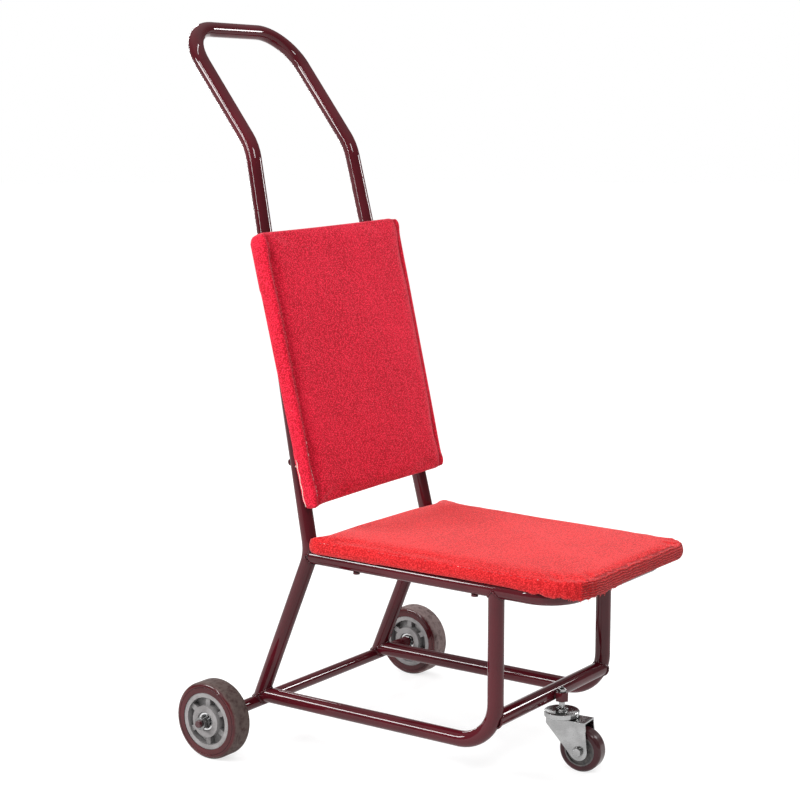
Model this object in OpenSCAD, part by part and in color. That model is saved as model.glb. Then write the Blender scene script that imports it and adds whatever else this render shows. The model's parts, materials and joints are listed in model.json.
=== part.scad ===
// Stacking chair trolley: a padded chair-shaped frame on two rear wheels and one front caster.
// Millimetres, +Z up, floor at Z = 0. The trolley faces -Y; +X is the pusher's left side.

/* [Frame tube] */
// Outside diameter of the bent frame tubes
tube_d = 25; // [22:0.5:28]
// Wall thickness of the frame tubes
tube_wall = 1.5; // [1:0.1:2.5]
// Width between the centre lines of the seat rails
frame_w = 330; // [300:1:360]
// Width between the centre lines of the handle sides
handle_w = 262; // [240:1:290]
// Distance of the seat bend ahead of the rear axle
seat_bend_forward = 110; // [90:1:130]
// Height of the seat bend above the floor
seat_bend_z = 325; // [300:1:350]
// Bend radius at the seat
seat_bend_r = 60; // [45:1:80]
// Distance of the upper bend behind the rear axle
upper_bend_back = 30; // [10:1:60]
// Height of the upper bend above the floor
upper_bend_z = 965; // [920:1:1010]
// Bend radius below the handle
upper_bend_r = 90; // [60:1:120]
// Distance of the handle's top bar behind the rear axle
handle_back = 176; // [150:1:210]
// Height of the handle's top bar above the floor
handle_z = 1156; // [1110:1:1200]
// Bend radius at the handle's corners
handle_corner_r = 72; // [50:1:90]
// Height of the lower rails above the rear axle
rail_rise = 12.5; // [8:0.5:16]
// Bend radius between a lower rail and its front leg
leg_bend_r = 65; // [50:1:80]

/* [Seat loop] */
// Drop of the seat rails below the seat bend
seat_rail_drop = 4; // [0:0.5:8]
// Forward slope of the seat rails, degrees
seat_slope = 0.65; // [0:0.05:2]
// Depth of the seat loop ahead of the seat bend
seat_loop_depth = 457; // [420:1:490]
// Corner radius of the seat loop
loop_corner_r = 56; // [45:1:75]
// Distance of the front legs behind the loop's front bar
front_leg_setback = 109; // [95:1:130]
// Distance of the cross bar ahead of the legs' centre lines
cross_bar_forward = 3; // [0:0.5:5]

/* [Rear axle] */
// Outside diameter of the rear axle tube
axle_tube_d = 20; // [18:0.5:22]
// Wall thickness of the rear axle tube
axle_tube_wall = 3; // [2:0.1:3.5]
// Distance between the middles of the rear wheels
wheel_track = 560; // [520:1:600]
// Gap between the axle tube's end and the hub
axle_end_gap = 3; // [2:0.5:6]
// Depth of an axle stud's root inside the tube
stud_root = 60; // [40:1:80]
// Length of the stud's plain end outside the lock nut
stud_show = 6; // [4:0.5:10]
// Diameter of the stud's plain end
stud_end_d = 11.5; // [9:0.5:11.5]

/* [Rear wheel] */
// Outside diameter of a rear wheel
wheel_d = 125; // [115:1:135]
// Width of a rear tyre
wheel_w = 38; // [34:0.5:42]
// Radius of the tyre's shoulders
tyre_shoulder_r = 7; // [4:0.5:9]
// Diameter of the ring line moulded in the tyre's sides
mould_line_d = 109; // [104:1:112]
// Width of the ring line moulded in the tyre's sides
mould_line_w = 1.2; // [0.8:0.1:2]
// Outside diameter of the hub's rim
hub_rim_d = 92; // [88:1:96]
// Inside diameter of the hub's rim
hub_rim_bore = 77; // [74:1:80]
// Width of the hub's rim
hub_rim_w = 36; // [30:0.5:37]
// Diameter of the hub's boss
hub_boss_d = 51; // [46:1:56]
// Width of the hub's boss
hub_boss_w = 42; // [39:0.5:46]
// Thickness of the hub's web
hub_web_t = 10; // [6:0.5:14]
// Width of a hub spoke
spoke_w = 9; // [6:0.5:12]
// Depth of a hub spoke along the axle
spoke_depth = 27; // [20:0.5:30]
// Number of hub spokes
spoke_count = 6; // [4:1:8]
// Diameter of the recess in front of each bearing
bearing_recess_d = 31; // [30:0.5:34]
// Depth of the recess in front of each bearing
bearing_recess = 2; // [1:0.5:4]
// Outside diameter of a bearing
bearing_od = 28; // [26:0.5:29]
// Bore of a bearing
bearing_id = 12; // [10:0.5:13]
// Width of a bearing
bearing_w = 8; // [7:0.5:10]
// Number of balls in a bearing
bearing_ball_count = 8; // [6:1:9]
// Thickness of the washer under a lock nut
axle_washer_t = 2; // [1.5:0.1:3]
// Width across the flats of a lock nut
lock_nut_af = 19; // [17:0.5:22]
// Height of a lock nut's hexagon
lock_nut_h = 9; // [7:0.5:12]
// Height of a lock nut's collar
lock_collar_h = 3.5; // [2:0.5:5]

/* [Front caster] */
// Outside diameter of the caster wheel
caster_d = 70; // [64:1:76]
// Width of the caster wheel
caster_w = 26; // [22:0.5:30]
// Radius of the caster tyre's shoulders
caster_shoulder_r = 6; // [4:0.5:8]
// Diameter of the caster hub
caster_hub_d = 50; // [44:1:54]
// Diameter of the raised ring on the caster hub's sides
caster_ring_d = 30; // [26:1:34]
// Depth of the dished sides of the caster hub
caster_dish = 3; // [2:0.5:5]
// Offset of the caster's axle from its swivel axis
caster_trail = 36.5; // [32:0.5:42]
// Turn of the caster about its stem, degrees
caster_turn = 5; // [0:1:10]
// Side gap between the caster wheel and its fork
caster_side_gap = 2; // [1:0.5:3]
// Thickness of the fork's steel
fork_t = 2.5; // [2:0.1:3]
// Height of the fork's crown above the caster wheel
fork_head_room = 9.5; // [6:0.5:14]
// Radius of the fork's cheeks around the axle
fork_eye_r = 15; // [12:0.5:17]
// Reach of the fork's crown behind the swivel axis
fork_rear = 19; // [16:0.5:21]
// Reach of the fork's crown ahead of the swivel axis
fork_front = 47; // [44:0.5:54]
// Height of the fork's upright rear edge
fork_rear_h = 9; // [6:0.5:12]
// Diameter of the caster's axle bolt
caster_bolt_d = 8; // [7:0.5:9]
// Width across the flats of the axle bolt's head and nut
caster_bolt_af = 13; // [12:0.5:14]
// Height of the axle bolt's head
caster_head_h = 5; // [4:0.5:6]
// Thickness of the washers on the caster's axle
caster_washer_t = 1.5; // [1:0.1:2]
// Wall of the sleeve on the caster's axle
caster_sleeve_wall = 2; // [1.5:0.1:3]
// Diameter of the swivel cup
cup_d = 56; // [52:1:60]
// Thickness of the cup's dished plate
cup_t = 2.5; // [2:0.1:3]
// Height of the cup's rim above its plate
cup_rim_rise = 4; // [3:0.5:6]
// Diameter of the swivel balls
swivel_ball_d = 5; // [4:0.5:6]
// Diameter of the circle of swivel balls
swivel_ball_circle = 36; // [34:1:38]
// Number of swivel balls
swivel_ball_count = 14; // [10:1:18]
// Diameter of the caster's threaded stem
stem_d = 12; // [10:0.5:13]
// Diameter of the plain neck below the stem's thread
stem_neck_d = 9.6; // [8:0.1:10]
// Diameter of the stem's riveted foot
stem_foot_d = 19; // [17:0.5:22]
// Height of the stem's riveted foot
stem_foot_h = 4; // [3:0.5:6]
// Width across the flats of the nut in the swivel cup
swivel_nut_af = 17; // [16:0.5:19]
// Height of the nut in the swivel cup
swivel_nut_h = 7; // [5:0.5:9]
// Length of neck that shows between the two nuts
stem_show = 12; // [8:0.5:16]
// Width across the flats of the weld nut
weld_nut_af = 19; // [18:0.5:22]
// Height of the weld nut
weld_nut_h = 14; // [10:0.5:18]
// Drop of the weld nut's middle below the cross bar's
weld_nut_drop = 1.5; // [0:0.5:3]
// Depth by which the weld nut is fitted into the cross bar
weld_nut_seat = 0.8; // [0.4:0.1:1.5]
// Length of the stem above the weld nut
stem_top = 8; // [5:0.5:12]

/* [Seat pad] */
// Overhang of the seat pad outside each rail's centre line
seat_pad_side = 23; // [20:1:35]
// Overhang of the seat pad ahead of the loop's front bar
seat_pad_overhang = 44; // [35:1:70]
// Thickness of the seat pad at its edge
seat_pad_t = 21.5; // [20:0.5:30]
// Crown of the seat pad above its edge
seat_crown = 4; // [2:0.5:8]
// Radius of the seat pad's front corners
seat_front_corner_r = 52; // [30:1:60]
// Radius of the seat pad's rear corners
seat_rear_corner_r = 14; // [12:1:25]
// Inward taper of each side of the seat pad at its front edge
seat_front_taper = 10; // [0:1:12]
// Loss of the seat pad's thickness at its front edge
seat_front_fall = 4; // [0:0.5:6]
// Distance between the seat screws along a rail
seat_screw_pitch = 220; // [180:1:250]
// Distance of the rear seat screws ahead of the seat bend
seat_screw_start = 90; // [70:1:110]

/* [Back pad] */
// Overhang of the back pad outside each upright's foot
back_pad_side = 20; // [15:1:30]
// Height of the back pad
back_pad_h = 440; // [420:1:460]
// Distance of the back pad's lower edge above the seat bend
back_pad_low = 78; // [70:1:90]
// Thickness of the back pad at its edge
back_pad_t = 24.5; // [20:0.5:30]
// Crown of the back pad above its edge
back_crown = 4; // [2:0.5:8]
// Radius of the back pad's corners
back_corner_r = 14; // [12:1:25]
// Turn of the back pad in its own plane, degrees
back_pad_turn = 1.4; // [0:0.1:2]
// Distance between the back screws along an upright
back_screw_pitch = 300; // [260:1:330]

/* [Pad build] */
// Thickness of the boards
board_t = 9; // [8:0.5:12]
// Thickness of the cover cloth
cover_t = 1.5; // [1:0.1:2]
// Width of the cover's hem under a board
hem_w = 9; // [7:0.5:10]
// Radius of the cover's lower edge
wrap_r = 4; // [3.5:0.5:5]
// Radius of the cushions' upper edge
shoulder_r = 10; // [7:0.5:12]
// Inward pull of a pad's sides between its corners
side_pull = 2; // [0:0.5:4]
// Diameter of the pad screws
screw_d = 6; // [5:0.5:7]
// Diameter of a screw head
screw_head_d = 11; // [10:0.5:13]
// Height of a screw head
screw_head_h = 3.5; // [3:0.5:5]
// Diameter of a tee nut's barrel
tee_d = 8; // [7.8:0.1:9]
// Diameter of a tee nut's flange
tee_flange_d = 18; // [16:0.5:20]
// Thickness of a tee nut's flange
tee_flange_t = 1.2; // [1:0.1:1.6]

/* [Clearances] */
// Distance at which a coped tube stops short of its neighbour's axis
cope_land = 3; // [2:0.5:5]
// Radial clearance of parts that turn on each other
run_gap = 0.05; // [0.03:0.01:0.08]
// Radial clearance of parts that are screwed or pushed together
thread_gap = 0.05; // [0.03:0.01:0.1]
// Clearance around soft parts and between stacked faces
soft_gap = 0.3; // [0.2:0.1:0.5]
// Axial clearance of the swivelling fork
swivel_gap = 0.3; // [0.2:0.1:0.5]
// Radial clearance of the screws in the tubes
screw_gap = 0.2; // [0.1:0.1:0.4]
// Gap between the seat pad and the uprights
pad_rear_gap = 0.5; // [0.5:0.5:3]

/* [Hidden] */
$fn = 64;
// Length by which cuts run past a face
overrun = 2;
// Step by which a tube's straight legs are thinner than its bends, and the lap of the two
leg_step = 0.1;
leg_lap = 1.5;
maroon_paint = [0.30, 0.08, 0.10];
maroon_tyre = [0.36, 0.07, 0.10];
hub_grey = [0.60, 0.58, 0.58];
dark_grey = [0.27, 0.27, 0.28];
zinc = [0.72, 0.73, 0.72];
bright_steel = [0.80, 0.80, 0.81];
pad_red = [0.85, 0.13, 0.20];
foam_cream = [0.90, 0.85, 0.65];
board_black = [0.10, 0.09, 0.09];

// Sides of the trolley
left = 1;
right = -1;

// Place of the frame: the origin lies on the floor under the middle of the whole length
tube_r = tube_d/2;
axle_z = wheel_d/2;
front_reach = seat_bend_forward + seat_loop_depth + seat_pad_overhang;
rear_reach = handle_back + tube_r;
axle_y = (front_reach - rear_reach)/2;
seat_y = axle_y - seat_bend_forward;
leg_y = seat_y - seat_loop_depth + front_leg_setback;
rail_z = axle_z + rail_rise;
seat_rail_z = seat_bend_z - seat_rail_drop;
function seat_rail_z_at(y) = seat_rail_z + (y - seat_y)*tan(seat_slope);

// Caster heights, from the floor up to the cross bar
caster_axle_z = caster_d/2;
fork_w = caster_w + 2*caster_side_gap + 2*fork_t;
crown_top = caster_d + fork_head_room + fork_t;
ball_sink_share = 0.16;
ball_sink = ball_sink_share*swivel_ball_d;
swivel_ball_z = crown_top + swivel_ball_d/2 - ball_sink;
cup_floor_z = crown_top + swivel_ball_d - 2*ball_sink;
cup_top_z = cup_floor_z + cup_t;
swivel_nut_top = cup_top_z + swivel_nut_h;
weld_nut_z = swivel_nut_top + stem_show;
cross_bar_z = weld_nut_z + weld_nut_h/2 + weld_nut_drop;
// Distance by which a leg's bend carries its centre line back at the height of the cross bar
leg_bend_drop = max(rail_z + leg_bend_r - cross_bar_z, 0);
leg_bend_back = leg_bend_r - sqrt(leg_bend_r*leg_bend_r - leg_bend_drop*leg_bend_drop);
cross_bar_y = leg_y + leg_bend_back - cross_bar_forward;
stem_y = cross_bar_y - tube_r - weld_nut_af/2 + weld_nut_seat;

// Centre lines of the frame tubes
function unit(v) = v/norm(v);
function toward(a, b, step) = a + step*unit(b - a);
axle_point = [frame_w/2, axle_y, axle_z];
seat_point = [frame_w/2, seat_y, seat_bend_z];
upper_point = [handle_w/2, axle_y + upper_bend_back, upper_bend_z];
handle_point = [handle_w/2, axle_y + handle_back, handle_z];
function mirrored(p) = [-p[0], p[1], p[2]];
leg_foot = toward(axle_point, seat_point, cope_land);
back_path = [leg_foot, seat_point, upper_point, handle_point,
    mirrored(handle_point), mirrored(upper_point), mirrored(seat_point), mirrored(leg_foot)];
back_radii = [0, seat_bend_r, upper_bend_r, handle_corner_r, handle_corner_r, upper_bend_r, seat_bend_r, 0];
loop_path = [[frame_w/2, -cope_land, 0], [frame_w/2, -seat_loop_depth, 0],
    [-frame_w/2, -seat_loop_depth, 0], [-frame_w/2, -cope_land, 0]];
loop_radii = [0, loop_corner_r, loop_corner_r, 0];
// Place of a rear leg's centre line at the height of the lower rails
rail_start_y = axle_y - seat_bend_forward*rail_rise/(seat_bend_z - axle_z) - cope_land;
side_path = [[0, rail_start_y, rail_z], [0, leg_y, rail_z], [0, leg_y, seat_rail_z_at(leg_y) - cope_land]];
side_radii = [0, leg_bend_r, 0];

// Lean of the back, measured from upright
back_lean = atan((seat_bend_forward + upper_bend_back)/(upper_bend_z - seat_bend_z));
upright_length = norm([seat_bend_forward + upper_bend_back, upper_bend_z - seat_bend_z]);
function upright_x(v) = frame_w/2 + (handle_w - frame_w)/2*v/upright_length;

// Rear wheel stack along the axle, measured outward from the middle of the wheel
race_wall_share = 0.3;
ball_size_share = 0.58;
bearing_section = (bearing_od - bearing_id)/2;
race_wall = race_wall_share*bearing_section;
bearing_ball_d = ball_size_share*bearing_section;
bearing_pitch_r = (bearing_od + bearing_id)/4;
bearing_face = hub_boss_w/2 - bearing_recess;
bearing_mid = bearing_face - bearing_w/2;
bearing_back = bearing_face - bearing_w;
axle_tube_end = hub_boss_w/2 + axle_end_gap;
lock_nut_face = bearing_face + axle_washer_t;
lock_nut_end = lock_nut_face + lock_nut_h + lock_collar_h;
stud_r = bearing_id/2 - thread_gap;
inner_race_r = bearing_id/2 + race_wall;
// Rim of the inner race that the washers and spacers leave bare
race_margin_share = 0.15;
spacer_r = inner_race_r - race_margin_share*race_wall;
hub_core_r = bearing_od/2 - race_wall;
// Chamfer at the stud's tip, as a share of the radius there
stud_tip_share = 0.2;
// Depth by which the spokes run into the rim and the boss
spoke_root = (hub_rim_d - hub_rim_bore)/4;

// Caster wheel
sleeve_r = caster_bolt_d/2 + thread_gap + caster_sleeve_wall;
caster_washer_r = caster_bolt_af/2 + caster_washer_t;
// Height of the hexagon nut on the caster's axle, as a share of the bolt's diameter
caster_nut_share = 0.85;
// Length of bolt outside that nut, as a share of the bolt's diameter
bolt_end_share = 0.25;
// Height of the dome on the stem's top, and the radius of its sphere
dome_share = 0.25;
dome_h = dome_share*stem_d;
dome_r = (stem_d*stem_d/4 + dome_h*dome_h)/(2*dome_h);

// Seat and back pads, each as [width, front edge, rear edge, front corner, rear corner, thickness, crown,
// taper of each side at the front, fall of the top at the front]
seat_pad = [frame_w + 2*seat_pad_side, -seat_loop_depth - seat_pad_overhang, -tube_r - pad_rear_gap,
    seat_front_corner_r, seat_rear_corner_r, seat_pad_t, seat_crown, seat_front_taper, seat_front_fall];
back_pad = [frame_w + 2*back_pad_side, back_pad_low, back_pad_low + back_pad_h,
    back_corner_r, back_corner_r, back_pad_t, back_crown, 0, 0];
// The cover's hem lies between a board and the tubes that carry it
hem_z = -cover_t - soft_gap;
pad_floor = tube_r + soft_gap - hem_z;
foam_inset = cover_t + soft_gap;
foam_floor = board_t + soft_gap;
// Steps of a pad's outline in each corner and along each side
corner_steps = 5;
side_steps = 5;
wrap_angles = [-90, -45, 0];
shoulder_angles = [0, 30, 60, 90];
// Rings of a cushion's top, as shares of the way from its shoulder to its middle line
crown_shares = [0.12, 0.32, 0.6, 0.9];
// Rear and front places of the screws
seat_screw_places = [-seat_screw_start, -seat_screw_start - seat_screw_pitch];
back_screw_low = back_pad_low + (back_pad_h - back_screw_pitch)/2;
back_screw_places = [back_screw_low, back_screw_low + back_screw_pitch];
tee_barrel_h = board_t - tee_flange_t;

// Round bar and tube along a bent centre line

function way(p, i) = unit(p[i + 1] - p[i]);
function bend_axis(p, i) = unit(cross(way(p, i - 1), way(p, i)));
function turn_at(p, i) = acos(way(p, i - 1)*way(p, i));
function setback(p, r, i) = i == 0 || i == len(p) - 1 ? 0 : r[i]*tan(turn_at(p, i)/2);
function leg_length(p, r, i) = norm(p[i + 1] - p[i]) - setback(p, r, i) - setback(p, r, i + 1);
// Twist about leg i from the plane of the bend before it to the plane of the bend after it
function roll_at(p, i) = i > len(p) - 3 ? 0 :
    let (a = bend_axis(p, i), b = bend_axis(p, i + 1)) atan2(cross(a, b)*way(p, i), a*b);

// Leg i and all that follows it: the leg runs along +Z and its bend turns towards +X.
// Seam is the angle of the tube's seam line from +X, kept unbroken from leg to leg.
module run_on(p, r, d, ends, i, seam) {
    h = leg_length(p, r, i);
    start = i == 0 ? ends : leg_lap;
    finish = i == len(p) - 2 ? ends : leg_lap;
    translate([0, 0, -start])
        rotate([0, 0, seam])
            cylinder(h = h + start + finish, d = d - 2*leg_step);
    if (i < len(p) - 2)
        translate([r[i + 1], 0, h]) {
            rotate([90, 0, 180])
                rotate_extrude(angle = turn_at(p, i + 1))
                    translate([r[i + 1], 0])
                        rotate([0, 0, 180 - seam])
                            circle(d = d);
            rotate([0, turn_at(p, i + 1), 0])
                translate([-r[i + 1], 0, 0])
                    rotate([0, 0, roll_at(p, i + 1)])
                        run_on(p, r, d, ends, i + 1, seam - roll_at(p, i + 1));
        }
}

module bent_bar(p, r, d, ends = 0) {
    w = way(p, 0);
    n = bend_axis(p, 1);
    inward = cross(n, w);
    multmatrix([
        [inward[0], n[0], w[0], p[0][0]],
        [inward[1], n[1], w[1], p[0][1]],
        [inward[2], n[2], w[2], p[0][2]],
        [0, 0, 0, 1]])
        run_on(p, r, d, ends, 0, 0);
}

module bent_tube(p, r) {
    difference() {
        bent_bar(p, r, tube_d);
        bent_bar(p, r, tube_d - 2*tube_wall, overrun);
    }
}

module across(half_length, y, z, d) {
    translate([-half_length, y, z])
        rotate([0, 90, 0])
            cylinder(h = 2*half_length, d = d);
}

// Local frames

module at_seat() {
    translate([0, seat_y, seat_rail_z])
        rotate([seat_slope, 0, 0])
            children();
}

module at_back() {
    translate([0, seat_y, seat_bend_z])
        rotate([90 - back_lean, 0, 0])
            children();
}

// Frames of the two pads, with the boards' undersides at Z = 0
module at_seat_pad() {
    at_seat()
        translate([0, 0, pad_floor])
            children();
}

module at_back_pad() {
    middle = back_pad_low + back_pad_h/2;
    at_back()
        translate([0, middle, pad_floor])
            rotate([0, 0, back_pad_turn])
                translate([0, -middle, 0])
                    children();
}

// Axis +Z points outward along the rear axle
module at_wheel(side) {
    translate([side*wheel_track/2, axle_y, axle_z])
        rotate([0, side*90, 0])
            children();
}

module at_caster() {
    translate([0, stem_y, 0])
        rotate([0, 0, caster_turn])
            children();
}

// Axis +Z points along the caster's axle
module at_caster_axle() {
    at_caster()
        translate([0, -caster_trail, caster_axle_z])
            rotate([0, 90, 0])
                children();
}

module at_seat_screws() {
    at_seat()
        for (x = [-frame_w/2, frame_w/2], y = seat_screw_places)
            translate([x, y, 0])
                children();
}

module at_back_screws() {
    at_back()
        for (side = [right, left], v = back_screw_places)
            translate([side*upright_x(v), v, 0])
                children();
}

// Outer solids that neighbours are coped against

module back_bar() {
    bent_bar(back_path, back_radii, tube_d);
}

module loop_bar() {
    at_seat()
        bent_bar(loop_path, loop_radii, tube_d);
}

module side_bar(side) {
    translate([side*frame_w/2, 0, 0])
        bent_bar(side_path, side_radii, tube_d);
}

module axle_bar() {
    across(wheel_track/2 - axle_tube_end, axle_y, axle_z, axle_tube_d);
}

module screw_hole() {
    translate([0, 0, -tube_d])
        cylinder(h = 2*tube_d, d = screw_d + 2*screw_gap);
}

// Small turned and hexagonal forms

module ring(r_out, r_in, h) {
    difference() {
        cylinder(h = h, r = r_out);
        translate([0, 0, -overrun])
            cylinder(h = h + 2*overrun, r = r_in);
    }
}

module hexagon(af, h) {
    cylinder(h = h, d = af/cos(30), $fn = 6);
}

module hex_nut(af, h, bore_r) {
    difference() {
        hexagon(af, h);
        translate([0, 0, -overrun])
            cylinder(h = h + 2*overrun, r = bore_r);
    }
}

module rounded_section(r_in, r_out, w, shoulder) {
    translate([r_in, -w/2])
        square([r_out - r_in - shoulder, w]);
    translate([r_in, shoulder - w/2])
        square([r_out - r_in, w - 2*shoulder]);
    for (s = [-1, 1])
        intersection() {
            translate([r_out - shoulder, s*(w/2 - shoulder)])
                circle(r = shoulder);
            translate([r_out - shoulder, -w/2])
                square([shoulder, w]);
        }
}

module tyre_form(d, w, bore, shoulder) {
    rotate_extrude()
        rounded_section(bore/2, d/2, w, shoulder);
}

// Rear wheel forms, axis along Z and outward face up

module rear_tyre_form() {
    difference() {
        tyre_form(wheel_d, wheel_w, hub_rim_d + 2*thread_gap, tyre_shoulder_r);
        for (s = [-1, 1])
            translate([0, 0, s*wheel_w/2])
                rotate_extrude()
                    translate([mould_line_d/2, 0])
                        circle(d = mould_line_w);
    }
}

module hub_form() {
    difference() {
        union() {
            rotate_extrude()
                translate([hub_rim_bore/2, -hub_rim_w/2])
                    square([(hub_rim_d - hub_rim_bore)/2, hub_rim_w]);
            cylinder(h = hub_web_t, r = hub_rim_bore/2 + spoke_root, center = true);
            cylinder(h = hub_boss_w, d = hub_boss_d, center = true);
            for (i = [0:spoke_count - 1])
                rotate([0, 0, i*360/spoke_count])
                    translate([hub_boss_d/2 - spoke_root, -spoke_w/2, -spoke_depth/2])
                        cube([(hub_rim_bore - hub_boss_d)/2 + 2*spoke_root, spoke_w, spoke_depth]);
        }
        cylinder(h = hub_boss_w + 2*overrun, r = hub_core_r, center = true);
        for (s = [-1, 1])
            rotate([90 - s*90, 0, 0]) {
                translate([0, 0, bearing_back])
                    cylinder(h = bearing_w + bearing_recess + overrun, d = bearing_od);
                translate([0, 0, bearing_face])
                    cylinder(h = bearing_recess + overrun, d = bearing_recess_d);
            }
    }
}

module ball_groove() {
    rotate_extrude()
        translate([bearing_pitch_r, 0])
            circle(d = bearing_ball_d + 2*run_gap);
}

module at_bearings() {
    for (s = [-1, 1])
        translate([0, 0, s*bearing_mid])
            children();
}

module race(r_out, r_in) {
    difference() {
        translate([0, 0, -bearing_w/2])
            ring(r_out, r_in, bearing_w);
        ball_groove();
    }
}

module outer_races_form() {
    at_bearings()
        race(bearing_od/2, bearing_od/2 - race_wall);
}

module inner_races_form() {
    at_bearings()
        race(inner_race_r, bearing_id/2);
}

module bearing_balls_form() {
    at_bearings()
        for (i = [0:bearing_ball_count - 1])
            rotate([0, 0, i*360/bearing_ball_count])
                translate([bearing_pitch_r, 0, 0])
                    sphere(d = bearing_ball_d);
}

module axle_stud_form() {
    end_r = min(stud_end_d/2, stud_r);
    tip = stud_tip_share*end_r;
    translate([0, 0, -axle_tube_end])
        cylinder(h = axle_tube_end + lock_nut_end, r = stud_r);
    translate([0, 0, lock_nut_end])
        cylinder(h = stud_show - tip, r = end_r);
    translate([0, 0, lock_nut_end + stud_show - tip])
        cylinder(h = tip, r1 = end_r, r2 = end_r - tip);
    translate([0, 0, -axle_tube_end - stud_root])
        cylinder(h = stud_root, d = axle_tube_d - 2*axle_tube_wall - 2*thread_gap);
}

module inner_spacer_form() {
    translate([0, 0, -axle_tube_end])
        ring(spacer_r, bearing_id/2, axle_tube_end - bearing_face);
}

module hub_sleeve_form() {
    translate([0, 0, -bearing_back])
        ring(spacer_r, bearing_id/2, 2*bearing_back);
}

module axle_washer_form() {
    translate([0, 0, bearing_face])
        ring(spacer_r, bearing_id/2, axle_washer_t);
}

module lock_nut_form() {
    translate([0, 0, lock_nut_face])
        hex_nut(lock_nut_af, lock_nut_h, bearing_id/2);
    translate([0, 0, lock_nut_face + lock_nut_h])
        ring((lock_nut_af + bearing_id)/4 + lock_nut_af/8, bearing_id/2, lock_collar_h);
}

// Pad forms: a rounded outline with sides that pull in, stacked in rings

function arc(c, r, a0) = [for (i = [0:corner_steps]) let (a = a0 + 90*i/corner_steps) c + r*[cos(a), sin(a)]];
function side(a, b, inward) = [for (i = [1:side_steps])
    let (s = i/(side_steps + 1), pull = 4*s*(1 - s)*side_pull) a + s*(b - a) + pull*inward];
// Corner radius left after an inset, never sharper than the wrap of the cloth
function corner_left(r, inset) = max(r - inset, wrap_r/4);

// Share of the way from a pad's rear edge to its front edge
function ahead(pad, y) = (pad[2] - y)/(pad[2] - pad[1]);
// Taper of a pad's plan, and fall of whatever lies above the foam's floor, towards the front edge
function tapered(pad, q) = [q[0]*(1 - 2*pad[7]/pad[0]*ahead(pad, q[1])), q[1]];
function lowered(pad, q) =
    [q[0], q[1], q[2] - pad[8]*ahead(pad, q[1])*max(0, (q[2] - foam_floor)/(pad[5] - foam_floor))];

function outline(pad, inset) = [for (q = square_outline(pad, inset)) tapered(pad, q)];
function square_outline(pad, inset) =
    let (x = pad[0]/2 - inset, y0 = pad[1] + inset, y1 = pad[2] - inset,
        r0 = corner_left(pad[3], inset), r1 = corner_left(pad[4], inset))
    concat(
        arc([x - r0, y0 + r0], r0, -90), side([x, y0 + r0], [x, y1 - r1], [-1, 0]),
        arc([x - r1, y1 - r1], r1, 0), side([x - r1, y1], [r1 - x, y1], [0, -1]),
        arc([r1 - x, y1 - r1], r1, 90), side([-x, y1 - r1], [-x, y0 + r0], [1, 0]),
        arc([r0 - x, y0 + r0], r0, 180), side([r0 - x, y0], [x - r0, y0], [0, 1]));

// Rings of a cushion from its shoulder to its top, each as [inset of the arc's centre, height, radius, angle]
function top_rings(pad) = concat(
    [for (a = shoulder_angles) [shoulder_r, pad[5] - shoulder_r, shoulder_r, a]],
    [for (s = crown_shares)
        [shoulder_r + s*(pad[0]/2 - shoulder_r), pad[5] - shoulder_r + pad[6]*s*(2 - s), shoulder_r, 90]]);
function cover_rings(pad) = concat(
    [[hem_w, hem_z + wrap_r, wrap_r, -90]],
    [for (a = wrap_angles) [wrap_r, hem_z + wrap_r, wrap_r, a]],
    top_rings(pad));
function foam_rings(pad) = concat([[shoulder_r, foam_floor, shoulder_r, 0]], top_rings(pad));

// Points of the rings, moved inward from the cushion's outer face by depth
function ring_points(pad, rings, depth) = [for (g = rings)
    let (reach = g[2] - depth)
    for (q = outline(pad, g[0] - reach*cos(g[3])))
        lowered(pad, [q[0], q[1], g[1] + reach*sin(g[3])])];
function pad_middle(pad, z) = [0, (pad[1] + pad[2])/2, z];
function pad_peak(pad, depth) = lowered(pad, pad_middle(pad, pad[5] + pad[6] - depth));

// Triangles between ring k of one list of points and the next, seen from outside
function band(base, n, k) = [for (i = [0:n - 1], t = [0, 1])
    let (a = base + k*n + i, b = base + k*n + (i + 1)%n)
    t == 0 ? [a, b + n, b] : [a, a + n, b + n]];
function fan(base, n, peak) = [for (i = [0:n - 1]) [base + i, peak, base + (i + 1)%n]];
function flipped(faces) = [for (f = faces) [f[2], f[1], f[0]]];

module foam_form(pad) {
    rings = foam_rings(pad);
    n = len(outline(pad, foam_inset));
    m = len(rings);
    points = concat(ring_points(pad, rings, foam_inset),
        [pad_peak(pad, foam_inset), pad_middle(pad, foam_floor)]);
    faces = concat(
        [for (k = [0:m - 2]) each band(0, n, k)],
        fan((m - 1)*n, n, m*n),
        flipped(fan(0, n, m*n + 1)));
    polyhedron(points, faces);
}

module cover_form(pad) {
    rings = cover_rings(pad);
    n = len(outline(pad, 0));
    m = len(rings);
    inner = m*n;
    points = concat(ring_points(pad, rings, 0), ring_points(pad, rings, cover_t),
        [pad_peak(pad, 0), pad_peak(pad, cover_t)]);
    hem = [for (i = [0:n - 1], t = [0, 1])
        let (j = (i + 1)%n)
        t == 0 ? [i, j, inner + j] : [i, inner + j, inner + i]];
    faces = concat(
        [for (k = [0:m - 2]) each band(0, n, k)],
        fan((m - 1)*n, n, 2*inner),
        [for (k = [0:m - 2]) each flipped(band(inner, n, k))],
        flipped(fan(inner + (m - 1)*n, n, 2*inner + 1)),
        hem);
    polyhedron(points, faces);
}

module board_form(pad) {
    linear_extrude(height = board_t)
        polygon(outline(pad, wrap_r));
}

module tee_hole() {
    translate([0, 0, -overrun])
        cylinder(h = board_t + 2*overrun, d = tee_d + 2*thread_gap);
    translate([0, 0, tee_barrel_h])
        cylinder(h = tee_flange_t + overrun, d = tee_flange_d + 2*thread_gap);
}

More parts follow.
